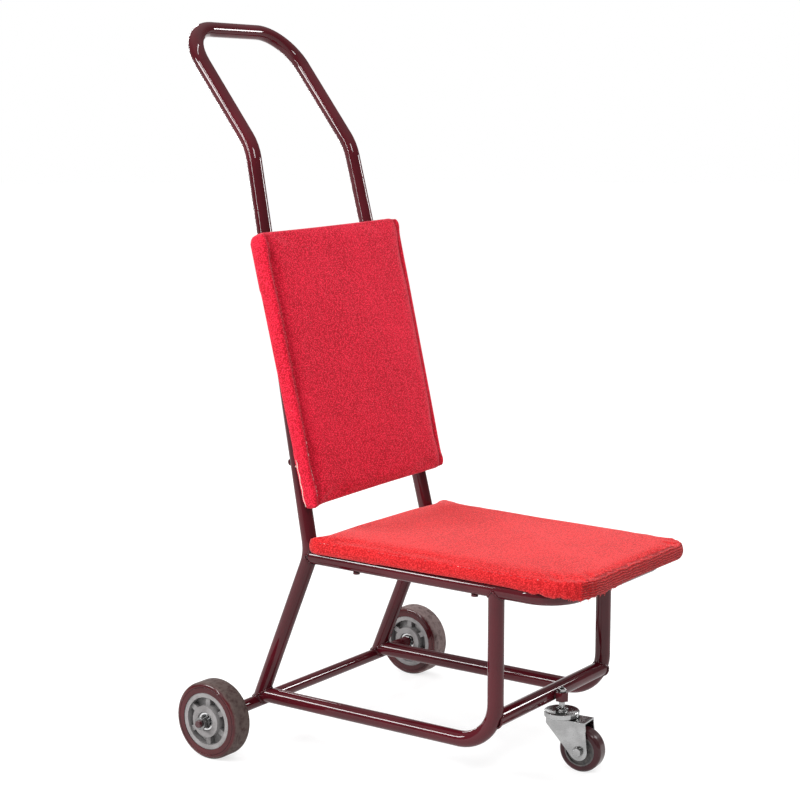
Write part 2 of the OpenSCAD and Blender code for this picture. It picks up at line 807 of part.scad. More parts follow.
module tee_nut_form() {
    ring(tee_d/2, screw_d/2 + thread_gap, tee_barrel_h);
    translate([0, 0, tee_barrel_h])
        ring(tee_flange_d/2, screw_d/2 + thread_gap, tee_flange_t);
}

module screw_form() {
    translate([0, 0, -tube_r - screw_head_h])
        cylinder(h = screw_head_h, d = screw_head_d);
    translate([0, 0, -tube_r])
        cylinder(h = tube_r + pad_floor + tee_barrel_h, d = screw_d);
}

// Frame

module back_frame_tube() {
    color(maroon_paint)
        difference() {
            bent_tube(back_path, back_radii);
            axle_bar();
            at_back_screws()
                screw_hole();
        }
}

module seat_loop_tube() {
    color(maroon_paint)
        difference() {
            at_seat()
                bent_tube(loop_path, loop_radii);
            back_bar();
            at_seat_screws()
                screw_hole();
        }
}

module side_tube(side) {
    color(maroon_paint)
        difference() {
            translate([side*frame_w/2, 0, 0])
                bent_tube(side_path, side_radii);
            back_bar();
            axle_bar();
            loop_bar();
        }
}

module left_side_tube() {
    side_tube(left);
}

module right_side_tube() {
    side_tube(right);
}

module front_cross_bar() {
    half = frame_w/2 - cope_land;
    color(maroon_paint)
        difference() {
            across(half, cross_bar_y, cross_bar_z, tube_d);
            across(half + overrun, cross_bar_y, cross_bar_z, tube_d - 2*tube_wall);
            side_bar(left);
            side_bar(right);
        }
}

module rear_axle_tube() {
    half = wheel_track/2 - axle_tube_end;
    color(maroon_paint)
        difference() {
            axle_bar();
            across(half + overrun, axle_y, axle_z, axle_tube_d - 2*axle_tube_wall);
        }
}

module stem_weld_nut() {
    color(maroon_paint)
        difference() {
            translate([0, stem_y, weld_nut_z])
                rotate([0, 0, 30])
                    hex_nut(weld_nut_af, weld_nut_h, stem_d/2 + thread_gap);
            across(frame_w/2, cross_bar_y, cross_bar_z, tube_d);
        }
}

// Rear wheels

module left_axle_stud() {
    color(zinc) at_wheel(left) axle_stud_form();
}

module right_axle_stud() {
    color(zinc) at_wheel(right) axle_stud_form();
}

module left_inner_spacer() {
    color(zinc) at_wheel(left) inner_spacer_form();
}

module right_inner_spacer() {
    color(zinc) at_wheel(right) inner_spacer_form();
}

module left_hub_sleeve() {
    color(zinc) at_wheel(left) hub_sleeve_form();
}

module right_hub_sleeve() {
    color(zinc) at_wheel(right) hub_sleeve_form();
}

module left_inner_races() {
    color(bright_steel) at_wheel(left) inner_races_form();
}

module right_inner_races() {
    color(bright_steel) at_wheel(right) inner_races_form();
}

module left_axle_washer() {
    color(zinc) at_wheel(left) axle_washer_form();
}

module right_axle_washer() {
    color(zinc) at_wheel(right) axle_washer_form();
}

module left_lock_nut() {
    color(zinc) at_wheel(left) lock_nut_form();
}

module right_lock_nut() {
    color(zinc) at_wheel(right) lock_nut_form();
}

module left_tyre() {
    color(maroon_tyre) at_wheel(left) rear_tyre_form();
}

module right_tyre() {
    color(maroon_tyre) at_wheel(right) rear_tyre_form();
}

module left_hub() {
    color(hub_grey) at_wheel(left) hub_form();
}

module right_hub() {
    color(hub_grey) at_wheel(right) hub_form();
}

module left_outer_races() {
    color(bright_steel) at_wheel(left) outer_races_form();
}

module right_outer_races() {
    color(bright_steel) at_wheel(right) outer_races_form();
}

module left_bearing_balls() {
    color(bright_steel) at_wheel(left) bearing_balls_form();
}

module right_bearing_balls() {
    color(bright_steel) at_wheel(right) bearing_balls_form();
}

// Front caster

module caster_stem() {
    foot_top = crown_top - fork_t - swivel_gap;
    foot_z = foot_top - stem_foot_h;
    top_z = weld_nut_z + weld_nut_h + stem_top;
    color(zinc)
        translate([0, stem_y, 0]) {
            translate([0, 0, foot_z])
                cylinder(h = stem_foot_h, d = stem_foot_d);
            translate([0, 0, foot_top])
                cylinder(h = swivel_nut_top - foot_top, d = stem_d);
            translate([0, 0, swivel_nut_top])
                cylinder(h = stem_show, d = stem_neck_d);
            translate([0, 0, weld_nut_z])
                cylinder(h = top_z - weld_nut_z - dome_h, d = stem_d);
            translate([0, 0, top_z - dome_h])
                intersection() {
                    cylinder(h = dome_h, d = stem_d);
                    translate([0, 0, dome_h - dome_r])
                        sphere(r = dome_r);
                }
        }
}

module swivel_cup() {
    rim_r = cup_d/2;
    plate_r = (swivel_ball_circle + swivel_ball_d)/2 + cup_t;
    color(zinc)
        translate([0, stem_y, 0])
            difference() {
                rotate_extrude()
                    polygon([
                        [stem_d/2 + thread_gap, cup_floor_z],
                        [plate_r - cup_t, cup_floor_z],
                        [plate_r, crown_top + swivel_gap],
                        [rim_r - cup_t/2, crown_top + swivel_gap],
                        [rim_r, crown_top + swivel_gap + cup_t/2],
                        [rim_r, cup_top_z + cup_rim_rise - cup_t/2],
                        [rim_r - cup_t/2, cup_top_z + cup_rim_rise],
                        [rim_r - cup_t, cup_top_z + cup_rim_rise],
                        [swivel_nut_af/cos(30)/2 + cup_t, cup_top_z],
                        [stem_d/2 + thread_gap, cup_top_z]]);
                translate([0, 0, swivel_ball_z])
                    rotate_extrude()
                        translate([swivel_ball_circle/2, 0])
                            circle(d = swivel_ball_d + 2*run_gap);
            }
}

module swivel_nut() {
    color(zinc)
        translate([0, stem_y, cup_top_z])
            hex_nut(swivel_nut_af, swivel_nut_h, stem_d/2 + thread_gap);
}

// Point where the line from p touches the circle round c, on the side that sign picks
function tangent(p, c, r, sign) =
    let (v = p - c, a = atan2(v[1], v[0]) + sign*acos(r/norm(v)))
    c + r*[cos(a), sin(a)];

module fork_cheek() {
    eye = [caster_trail, caster_axle_z];
    rear_low = [-fork_rear, crown_top - fork_rear_h];
    front_top = [fork_front, crown_top];
    polygon([
        [-fork_rear, crown_top],
        rear_low,
        tangent(rear_low, eye, fork_eye_r, 1),
        tangent(front_top, eye, fork_eye_r, -1),
        front_top]);
    translate(eye)
        circle(r = fork_eye_r);
}

module caster_fork() {
    color(zinc)
        at_caster()
            difference() {
                union() {
                    for (s = [-1, 1])
                        translate([s*(fork_w - fork_t)/2, 0, 0])
                            rotate([90, 0, -90])
                                linear_extrude(height = fork_t, center = true)
                                    fork_cheek();
                    translate([-fork_w/2, -fork_front, crown_top - fork_t])
                        cube([fork_w, fork_front + fork_rear, fork_t]);
                }
                translate([0, 0, crown_top - fork_t - overrun])
                    cylinder(h = fork_t + 2*overrun, d = stem_d + 2*run_gap);
                translate([0, 0, swivel_ball_z])
                    rotate_extrude()
                        translate([swivel_ball_circle/2, 0])
                            circle(d = swivel_ball_d + 2*run_gap);
                translate([0, -caster_trail, caster_axle_z])
                    rotate([0, 90, 0])
                        cylinder(h = fork_w + 2*overrun, d = caster_bolt_d + 2*thread_gap, center = true);
            }
}

module swivel_balls() {
    color(bright_steel)
        at_caster()
            for (i = [0:swivel_ball_count - 1])
                rotate([0, 0, i*360/swivel_ball_count])
                    translate([swivel_ball_circle/2, 0, swivel_ball_z])
                        sphere(d = swivel_ball_d);
}

module caster_axle_bolt() {
    washer_face = fork_w/2 + caster_washer_t;
    nut_h = caster_nut_share*caster_bolt_d;
    color(zinc)
        at_caster_axle() {
            translate([0, 0, -washer_face])
                cylinder(h = 2*washer_face + nut_h + bolt_end_share*caster_bolt_d, d = caster_bolt_d);
            translate([0, 0, -washer_face - caster_head_h])
                hexagon(caster_bolt_af, caster_head_h);
        }
}

module caster_axle_nut() {
    color(zinc)
        at_caster_axle()
            translate([0, 0, fork_w/2 + caster_washer_t])
                hex_nut(caster_bolt_af, caster_nut_share*caster_bolt_d, caster_bolt_d/2 + thread_gap);
}

module caster_axle_washers() {
    color(zinc)
        at_caster_axle()
            for (z = [-fork_w/2 - caster_washer_t, fork_w/2])
                translate([0, 0, z])
                    ring(caster_washer_r, caster_bolt_d/2 + thread_gap, caster_washer_t);
}

module caster_axle_sleeve() {
    gap = caster_w + 2*caster_side_gap;
    color(bright_steel)
        at_caster_axle()
            translate([0, 0, -gap/2])
                ring(sleeve_r, caster_bolt_d/2 + thread_gap, gap);
}

module caster_tyre() {
    color(maroon_tyre)
        at_caster_axle()
            tyre_form(caster_d, caster_w, caster_hub_d + 2*thread_gap, caster_shoulder_r);
}

module caster_hub() {
    ring_wall = (caster_hub_d - caster_ring_d)/8;
    color(dark_grey)
        at_caster_axle()
            difference() {
                cylinder(h = caster_w, d = caster_hub_d, center = true);
                cylinder(h = caster_w + 2*overrun, r = sleeve_r + run_gap, center = true);
                for (s = [-1, 1])
                    rotate([90 - s*90, 0, 0])
                        translate([0, 0, caster_w/2 - caster_dish]) {
                            ring(caster_hub_d/2 - ring_wall, caster_ring_d/2, caster_dish + overrun);
                            ring(caster_ring_d/2 - ring_wall, sleeve_r + ring_wall, caster_dish + overrun);
                        }
            }
}

// Pads

module seat_board() {
    color(board_black)
        difference() {
            at_seat_pad()
                board_form(seat_pad);
            at_seat_screws()
                translate([0, 0, pad_floor])
                    tee_hole();
        }
}

module seat_foam() {
    color(foam_cream)
        at_seat_pad()
            foam_form(seat_pad);
}

module seat_cover() {
    color(pad_red)
        at_seat_pad()
            cover_form(seat_pad);
}

module seat_screws() {
    color(zinc)
        at_seat_screws()
            screw_form();
}

module seat_tee_nuts() {
    color(zinc)
        at_seat_screws()
            translate([0, 0, pad_floor])
                tee_nut_form();
}

module back_board() {
    color(board_black)
        difference() {
            at_back_pad()
                board_form(back_pad);
            at_back_screws()
                translate([0, 0, pad_floor])
                    tee_hole();
        }
}

module back_foam() {
    color(foam_cream)
        at_back_pad()
            foam_form(back_pad);
}

module back_cover() {
    color(pad_red)
        at_back_pad()
            cover_form(back_pad);
}

module back_screws() {
    color(zinc)
        at_back_screws()
            screw_form();
}

module back_tee_nuts() {
    color(zinc)
        at_back_screws()
            translate([0, 0, pad_floor])
                tee_nut_form();
}

back_frame_tube();
seat_loop_tube();
left_side_tube();
right_side_tube();
front_cross_bar();
rear_axle_tube();
stem_weld_nut();
left_axle_stud();
right_axle_stud();
left_inner_spacer();
right_inner_spacer();
left_hub_sleeve();
right_hub_sleeve();
left_inner_races();
right_inner_races();
left_axle_washer();
right_axle_washer();
left_lock_nut();
right_lock_nut();
left_tyre();
right_tyre();
left_hub();
right_hub();
left_outer_races();
right_outer_races();
left_bearing_balls();
right_bearing_balls();
caster_stem();
swivel_cup();
swivel_nut();
caster_fork();
swivel_balls();
caster_axle_bolt();
caster_axle_nut();
caster_axle_washers();
caster_axle_sleeve();
caster_tyre();
caster_hub();
seat_board();
seat_foam();
seat_cover();
seat_screws();
seat_tee_nuts();
back_board();
back_foam();
back_cover();
back_screws();
back_tee_nuts();
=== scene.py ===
"""Stacking chair trolley, dressed: painted tubes and welds, terry pads, rubber, zinc.

Metres, +Z up, front at -Y. Right is the right of the person who pushes, at -X.
"""
import json
import math
import random

import bmesh
import bpy
import numpy as np
from mathutils import Matrix, Vector
from mathutils.bvhtree import BVHTree


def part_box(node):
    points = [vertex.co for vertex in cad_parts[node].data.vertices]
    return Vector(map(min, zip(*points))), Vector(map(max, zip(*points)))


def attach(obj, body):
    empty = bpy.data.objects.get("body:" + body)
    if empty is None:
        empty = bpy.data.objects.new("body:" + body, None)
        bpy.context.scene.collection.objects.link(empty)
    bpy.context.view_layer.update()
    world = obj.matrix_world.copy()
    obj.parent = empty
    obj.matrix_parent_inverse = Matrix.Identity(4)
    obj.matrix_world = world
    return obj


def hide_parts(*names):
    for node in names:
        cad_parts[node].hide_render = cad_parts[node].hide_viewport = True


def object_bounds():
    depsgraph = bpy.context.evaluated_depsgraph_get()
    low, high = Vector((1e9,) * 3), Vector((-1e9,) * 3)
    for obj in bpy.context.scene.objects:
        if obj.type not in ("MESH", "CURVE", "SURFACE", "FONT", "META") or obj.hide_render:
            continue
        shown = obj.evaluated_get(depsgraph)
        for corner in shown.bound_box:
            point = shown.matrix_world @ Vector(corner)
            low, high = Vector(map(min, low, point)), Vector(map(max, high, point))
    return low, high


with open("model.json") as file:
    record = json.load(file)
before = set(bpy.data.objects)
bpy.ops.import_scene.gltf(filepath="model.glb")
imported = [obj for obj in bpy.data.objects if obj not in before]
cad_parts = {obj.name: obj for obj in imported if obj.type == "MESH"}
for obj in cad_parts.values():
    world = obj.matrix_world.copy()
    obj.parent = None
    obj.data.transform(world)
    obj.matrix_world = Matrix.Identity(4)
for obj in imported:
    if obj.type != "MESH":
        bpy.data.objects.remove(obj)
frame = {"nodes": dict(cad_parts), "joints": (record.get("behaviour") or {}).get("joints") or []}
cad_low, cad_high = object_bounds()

MM = 0.001
NODES = frame["nodes"]
ANCHOR = {joint["name"]: Vector(joint["pos_m"]) for joint in frame["joints"]}
AXIS = {joint["name"]: Vector(joint["axis"]) for joint in frame["joints"]}
dice = random.Random(7)


# Camera, light and floor

AXLE_MIDDLE = (ANCHOR["left_wheel_spin"] + ANCHOR["right_wheel_spin"]) / 2
VIEW_TARGET = AXLE_MIDDLE + Vector((-0.01008, -0.17376, 0.49573))
VIEW_AZIMUTH = math.radians(-54.83)
VIEW_ELEVATION = math.radians(8.53)
VIEW_DISTANCE = 2.96387
LENS = 82.24
NEAR_CLIP = 0.05
FLOOR_RADIUS = 30.0
FLOOR_GLOW = 0.72
HORIZON_LIGHT = 0.26
ZENITH_LIGHT = 0.8
# Heights on the unit sphere between which the studio's light rises from the horizon's to the zenith's
DOME_LOW = 0.3
DOME_HIGH = 0.95
BACKDROP = 1.0
SUN_STRENGTH = 0.95
SUN_SPREAD = math.radians(60)
SUN_PLACE = (-1.0, -0.6, 4.0)
# Each lamp's name, place, width and height, and power in watts
LAMPS = (
    ("window_softbox", (-1.9, 1.5, 1.4), (0.9, 0.42), 36),
    ("side_strip", (-2.35, 0.85, 1.35), (0.12, 1.5), 24),
    ("key_softbox", (-1.5, -1.9, 2.3), (0.6, 0.6), 24),
    ("top_strip", (-0.5, 0.1, 3.0), (0.10, 2.0), 16),
    ("fill_softbox", (2.4, -1.5, 1.6), (0.4, 0.5), 26),
    ("rear_strip", (1.4, 2.2, 1.3), (0.14, 2.2), 24),
    ("rear_panel", (2.3, 1.3, 0.55), (2.4, 1.0), 8),
)


def link(obj):
    bpy.context.scene.collection.objects.link(obj)
    return obj


def aim(obj, place, target):
    obj.location = place
    obj.rotation_mode = "QUATERNION"
    obj.rotation_quaternion = (Vector(target) - Vector(place)).to_track_quat("-Z", "Y")


def make_camera():
    away = Vector((math.sin(VIEW_AZIMUTH) * math.cos(VIEW_ELEVATION),
                   -math.cos(VIEW_AZIMUTH) * math.cos(VIEW_ELEVATION),
                   math.sin(VIEW_ELEVATION)))
    camera = link(bpy.data.objects.new("camera", bpy.data.cameras.new("camera")))
    camera.data.lens = LENS
    camera.data.clip_start = NEAR_CLIP
    aim(camera, VIEW_TARGET + VIEW_DISTANCE * away, VIEW_TARGET)
    bpy.context.scene.camera = camera
    bpy.context.scene.view_settings.view_transform = "Standard"


def make_lights():
    """Soft lamps all round, and a wide sun that lights the surfaces but isn't mirrored in them."""
    middle = (cad_low + cad_high) / 2
    for name, place, size, watts in LAMPS:
        lamp = bpy.data.lights.new(name, "AREA")
        lamp.shape = "RECTANGLE"
        lamp.size, lamp.size_y = size
        lamp.energy = watts
        aim(link(bpy.data.objects.new(name, lamp)), place, middle)
    sun = bpy.data.lights.new("sky", "SUN")
    sun.energy = SUN_STRENGTH
    sun.angle = SUN_SPREAD
    sky = link(bpy.data.objects.new("sky", sun))
    sky.visible_glossy = False
    aim(sky, SUN_PLACE, (0, 0, 0))


def make_world():
    """A studio that is bright overhead and dim at the horizon, seen as a plain pale backdrop."""
    world = bpy.data.worlds.new("studio")
    world.use_nodes = True
    bpy.context.scene.world = world
    tree = world.node_tree
    background = tree.nodes["Background"]
    background.inputs["Color"].default_value = (1, 1, 1, 1)
    axes = tree.nodes.new("ShaderNodeSeparateXYZ")
    tree.links.new(tree.nodes.new("ShaderNodeTexCoord").outputs["Generated"], axes.inputs[0])
    dome = tree.nodes.new("ShaderNodeMapRange")
    dome.interpolation_type = "SMOOTHSTEP"
    dome.inputs["From Min"].default_value = DOME_LOW
    dome.inputs["From Max"].default_value = DOME_HIGH
    dome.inputs["To Min"].default_value = HORIZON_LIGHT
    dome.inputs["To Max"].default_value = ZENITH_LIGHT
    tree.links.new(axes.outputs["Z"], dome.inputs["Value"])
    level = tree.nodes.new("ShaderNodeMapRange")
    level.inputs["To Max"].default_value = BACKDROP
    tree.links.new(tree.nodes.new("ShaderNodeLightPath").outputs["Is Camera Ray"], level.inputs["Value"])
    tree.links.new(dome.outputs["Result"], level.inputs["To Min"])
    tree.links.new(level.outputs["Result"], background.inputs["Strength"])


# Materials

class Finish:
    """A node material whose patterns lie in the object's own coordinates, in metres."""

    def __init__(self, name, **sockets):
        self.material = bpy.data.materials.new(name)
        self.material.use_nodes = True
        self.tree = self.material.node_tree
        self.shader = self.tree.nodes["Principled BSDF"]
        for socket, value in sockets.items():
            self.shader.inputs[socket.replace("_", " ")].default_value = value
        self.place = self.add("ShaderNodeTexCoord").outputs["Object"]

    def add(self, kind, inputs=None, **settings):
        node = self.tree.nodes.new(kind)
        for name, value in settings.items():
            setattr(node, name, value)
        for name, value in (inputs or {}).items():
            if isinstance(value, bpy.types.NodeSocket):
                self.tree.links.new(value, node.inputs[name])
            else:
                node.inputs[name].default_value = value
        return node

    def drive(self, socket, value):
        self.tree.links.new(value, self.shader.inputs[socket])

    def noise(self, size, detail=2.0, place=None, roughness=0.5):
        """Soft noise whose lumps are about that size."""
        inputs = {"Vector": place or self.place, "Scale": 1 / size, "Detail": detail, "Roughness": roughness}
        return self.add("ShaderNodeTexNoise", inputs).outputs["Fac"]

    def cells(self, size, place=None):
        """Distance from the middles of scattered cells of about that size, in cell widths."""
        inputs = {"Vector": place or self.place, "Scale": 1 / size}
        return self.add("ShaderNodeTexVoronoi", inputs).outputs["Distance"]

    def spread(self, value, low, high, out_low=0.0, out_high=1.0):
        inputs = {"Value": value, "From Min": low, "From Max": high, "To Min": out_low, "To Max": out_high}
        return self.add("ShaderNodeMapRange", inputs, interpolation_type="SMOOTHSTEP").outputs["Result"]

    def calc(self, operation, a, b=0.0):
        return self.add("ShaderNodeMath", {0: a, 1: b}, operation=operation).outputs[0]

    def vectors(self, operation, inputs, result="Vector"):
        return self.add("ShaderNodeVectorMath", inputs, operation=operation).outputs[result]

    def axes(self, vector=None):
        return self.add("ShaderNodeSeparateXYZ", {0: vector or self.place}).outputs

    def centred(self, share, amount):
        """A share from 0 to 1 as a length that runs by half the amount to either side of nothing."""
        return self.calc("MULTIPLY", self.calc("SUBTRACT", share, 0.5), amount)

    def wave(self, length, pitch):
        return self.calc("SINE", self.calc("MULTIPLY", length, 2 * math.pi / pitch))

    def mix(self, factor, a, b):
        """Two colours by a factor; a mix node's colours are its inputs 6 and 7 and its output 2."""
        return self.add("ShaderNodeMix", {0: factor, 6: a, 7: b}, data_type="RGBA").outputs[2]

    def crevice_shade(self, colour, reach, shade_colour):
        """The colour, darkened towards the shade colour as painted shade where the surface lies close in a
        corner or a recess.
        """
        open_share = self.add("ShaderNodeAmbientOcclusion", {"Distance": reach}, samples=8).outputs["AO"]
        return self.mix(self.spread(open_share, 0.25, 0.95), shade_colour, colour)

    def relief(self, *layers, edge=0.0):
        """Stacks bump layers, each a height and its depth, on edges shaded as if rounded by that radius."""
        normal = None
        if edge:
            normal = self.add("ShaderNodeBevel", {"Radius": edge}, samples=4).outputs["Normal"]
        for height, depth in layers:
            inputs = {"Height": height, "Distance": depth, "Strength": 1.0}
            if normal is not None:
                inputs["Normal"] = normal
            normal = self.add("ShaderNodeBump", inputs).outputs["Normal"]
        self.drive("Normal", normal)

    def from_axis(self, joint):
        """Distance from a wheel's axis."""
        arm = self.vectors("SUBTRACT", {0: self.place, 1: ANCHOR[joint]})
        along = self.vectors("DOT_PRODUCT", {0: arm, 1: AXIS[joint]}, "Value")
        length = self.vectors("LENGTH", {0: arm}, "Value")
        along_square = self.calc("MULTIPLY", along, along)
        square = self.calc("SUBTRACT", self.calc("MULTIPLY", length, length), along_square)
        return self.calc("SQRT", self.calc("MAXIMUM", square))


def rgba(red, green, blue):
    return (red, green, blue, 1.0)


def grey(level):
    return rgba(level, level, level)


MAROON = rgba(0.070, 0.0055, 0.0100)
MAROON_DEEP = rgba(0.048, 0.0036, 0.0066)
# Painted shade that the frame's paint darkens to in corners and recesses
MAROON_SHADE = rgba(0.012, 0.002, 0.003)
STUD_PAINT = rgba(0.040, 0.0045, 0.0075)
STUD_BARE = rgba(0.24, 0.235, 0.23)
WHEEL_RUBBER = rgba(0.040, 0.0032, 0.0050), rgba(0.062, 0.0058, 0.0080)
CASTER_RUBBER = rgba(0.024, 0.0038, 0.0060), rgba(0.040, 0.0062, 0.0095)
# Painted shade that the tyres' rubber darkens to in corners and recesses
RUBBER_SHADE = rgba(0.012, 0.004, 0.005)
SCUFFED = rgba(0.032, 0.014, 0.014)
DUST = rgba(0.092, 0.068, 0.062)
# Left tyre's tread colour: pale dust, made paler still by painted light
PALE_DUST_AND_LIGHT = rgba(0.20, 0.15, 0.145)
# Each pile's shade tone is painted shade for its valleys, seams and row grooves; its dark tone is its matted
# clumps and also painted shade in the gaps between loops
SEAT_TERRY = {"dark": rgba(0.40, 0.008, 0.010), "bright": rgba(0.84, 0.032, 0.036),
              "bloom": rgba(1.0, 0.55, 0.55), "shade_tone": rgba(0.20, 0.006, 0.008)}
BACK_TERRY = {"dark": rgba(0.36, 0.006, 0.016), "bright": rgba(0.84, 0.020, 0.055),
              "bloom": rgba(1.0, 0.40, 0.48), "shade_tone": rgba(0.18, 0.004, 0.010)}
PALE_LINT = rgba(0.80, 0.30, 0.30)


def frame_paint(name="frame_paint", ripple=0.012 * MM):
    f = Finish(name, Coat_Weight=0.62, Coat_Roughness=0.035, Specular_IOR_Level=0.0)
    tone = f.mix(f.spread(f.noise(120 * MM, 4), 0.35, 0.65), MAROON_DEEP, MAROON)
    # Painted shade in corners and recesses, by ambient occlusion
    f.drive("Base Color", f.crevice_shade(tone, 8 * MM, MAROON_SHADE))
    f.drive("Roughness", f.spread(f.noise(30 * MM, 5), 0.3, 0.7, 0.24, 0.42))
    f.relief((f.noise(2.2 * MM), ripple))
    return f.material


def tyre_rubber(name, joint, tread_r, dusty, tones, tread_dust_and_light=DUST):
    """Cast tyre: glossy sides between two tones, a tread that has run dull and dusty in the given tread
    colour, which on the left tyre is made paler by painted light.
    """
    f = Finish(name, Coat_Roughness=0.06, Specular_IOR_Level=0.1)
    patches = f.noise(12 * MM, 5, roughness=0.6)
    radius = f.calc("ADD", f.from_axis(joint), f.centred(patches, 4 * MM))
    worn = f.spread(radius, tread_r - 4.5 * MM, tread_r - 0.8 * MM)
    scuffs = f.spread(f.noise(10 * MM, 6, roughness=0.75), 0.40, 0.75)
    side = f.mix(f.spread(f.noise(50 * MM, 3), 0.35, 0.65), *tones)
    # The tread colour is dust, and on the left tyre also painted light
    tread = f.mix(scuffs, tread_dust_and_light, SCUFFED)
    dull = f.calc("MULTIPLY", worn, dusty)
    # Painted shade in corners and recesses, by ambient occlusion
    f.drive("Base Color", f.crevice_shade(f.mix(dull, side, tread), 6 * MM, RUBBER_SHADE))
    f.drive("Coat Weight", f.spread(dull, 0.0, 1.0, 0.42, 0.0))
    f.drive("Roughness", f.spread(dull, 0.0, 1.0, 0.26, 0.78))
    f.relief((f.noise(1.6 * MM, 3), 0.08 * MM), (patches, 0.15 * MM))
    return f.material


def hub_plastic():
    f = Finish("hub_plastic", Specular_IOR_Level=0.4)
    grime = f.spread(f.noise(16 * MM, 5, roughness=0.65), 0.42, 0.72)
    cloud = f.spread(f.noise(40 * MM), 0.3, 0.7)
    base = f.mix(cloud, rgba(0.18, 0.17, 0.17), rgba(0.25, 0.24, 0.24))
    soiled = f.mix(f.calc("MULTIPLY", grime, 0.5), base, rgba(0.10, 0.09, 0.09))
    # Painted shade in the hub's recesses and corners, by ambient occlusion
    f.drive("Base Color", f.crevice_shade(soiled, 10 * MM, rgba(0.18, 0.175, 0.175)))
    f.drive("Roughness", f.spread(grime, 0.0, 1.0, 0.42, 0.62))
    f.relief((f.noise(1.2 * MM, 3), 0.05 * MM), edge=1.0 * MM)
    return f.material


def zinc_plate(name="zinc_plate", grain=(1.0, 1.0, 12.0), dark=0.31, light=0.39):
    """Zinc plated steel between two greys, with drawn grain and cloudy patches."""
    f = Finish(name, Metallic=1.0)
    stretched = f.vectors("MULTIPLY", {0: f.place, 1: grain})
    drawn = f.noise(12 * MM, 6, place=stretched, roughness=0.7)
    tone = f.mix(f.spread(f.noise(20 * MM, 3), 0.35, 0.65), grey(dark), grey(light))
    tone = f.mix(f.spread(drawn, 0.58, 0.8, 0.0, 0.35), tone, grey(0.5 * dark))
    # Painted shade in corners and recesses, by ambient occlusion
    f.drive("Base Color", f.crevice_shade(tone, 4 * MM, rgba(0.06, 0.055, 0.05)))
    f.drive("Roughness", f.spread(drawn, 0.3, 0.75, 0.17, 0.32))
    f.relief((drawn, 0.03 * MM), (f.noise(30 * MM), 0.6 * MM), edge=0.8 * MM)
    return f.material


def bearing_steel():
    f = Finish("bearing_steel", Metallic=1.0)
    stains = f.spread(f.noise(4 * MM, 3), 0.4, 0.7)
    f.drive("Base Color", f.mix(stains, rgba(0.66, 0.66, 0.67), rgba(0.42, 0.41, 0.40)))
    f.drive("Roughness", f.spread(f.noise(3 * MM, 3), 0.3, 0.7, 0.14, 0.34))
    return f.material


def caster_core():
    """Dark moulded caster hub with fine turned rings and dirt."""
    f = Finish("caster_core", Specular_IOR_Level=0.4)
    rings = f.wave(f.from_axis("caster_wheel_spin"), 2.1 * MM)
    dirt = f.spread(f.noise(6 * MM, 4, roughness=0.65), 0.4, 0.7)
    f.drive("Base Color", f.mix(dirt, rgba(0.050, 0.048, 0.048), rgba(0.105, 0.095, 0.090)))
    f.drive("Roughness", f.spread(dirt, 0.0, 1.0, 0.34, 0.62))
    f.relief((rings, 0.06 * MM), (f.noise(1.2 * MM), 0.05 * MM))
    return f.material


def stud_steel():
    """Zinc stud whose free end has caught the frame's paint."""
    f = Finish("stud_steel", Coat_Weight=0.2, Coat_Roughness=0.15)
    nut_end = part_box("left_lock_nut")[1].x
    reach = f.calc("ADD", f.calc("ABSOLUTE", f.axes()["X"]), f.centred(f.noise(3 * MM, 3), 1.5 * MM))
    painted = f.spread(reach, nut_end - 0.4 * MM, nut_end + 0.4 * MM)
    chips = f.spread(f.noise(2.5 * MM, 4, roughness=0.7), 0.60, 0.66)
    bare = f.calc("MAXIMUM", f.calc("SUBTRACT", 1.0, painted), f.calc("MULTIPLY", chips, 0.7))
    f.drive("Base Color", f.mix(bare, STUD_PAINT, STUD_BARE))
    f.drive("Metallic", bare)
    f.drive("Roughness", f.spread(f.noise(2 * MM, 3), 0.3, 0.7, 0.28, 0.48))
    f.relief((f.noise(1.5 * MM, 3), 0.06 * MM))
    return f.material


def lining_cloth():
    """Black woven lining over the boards."""
    f = Finish("lining_cloth", Specular_IOR_Level=0.2, Sheen_Weight=0.15, Sheen_Roughness=0.5)
    pitch = 1.6 * MM
    axes = f.axes()
    weave = f.calc("MULTIPLY", f.wave(axes["X"], pitch), f.wave(f.calc("ADD", axes["Y"], axes["Z"]), pitch))
    lint = f.spread(f.noise(10 * MM, 5, roughness=0.7), 0.5, 0.8)
    f.drive("Base Color", f.mix(lint, rgba(0.012, 0.010, 0.011), rgba(0.045, 0.036, 0.036)))
    f.drive("Roughness", f.spread(weave, -1.0, 1.0, 0.75, 0.95))
    f.relief((weave, 0.12 * MM), (f.noise(30 * MM, 3), 0.6 * MM))
    return f.material


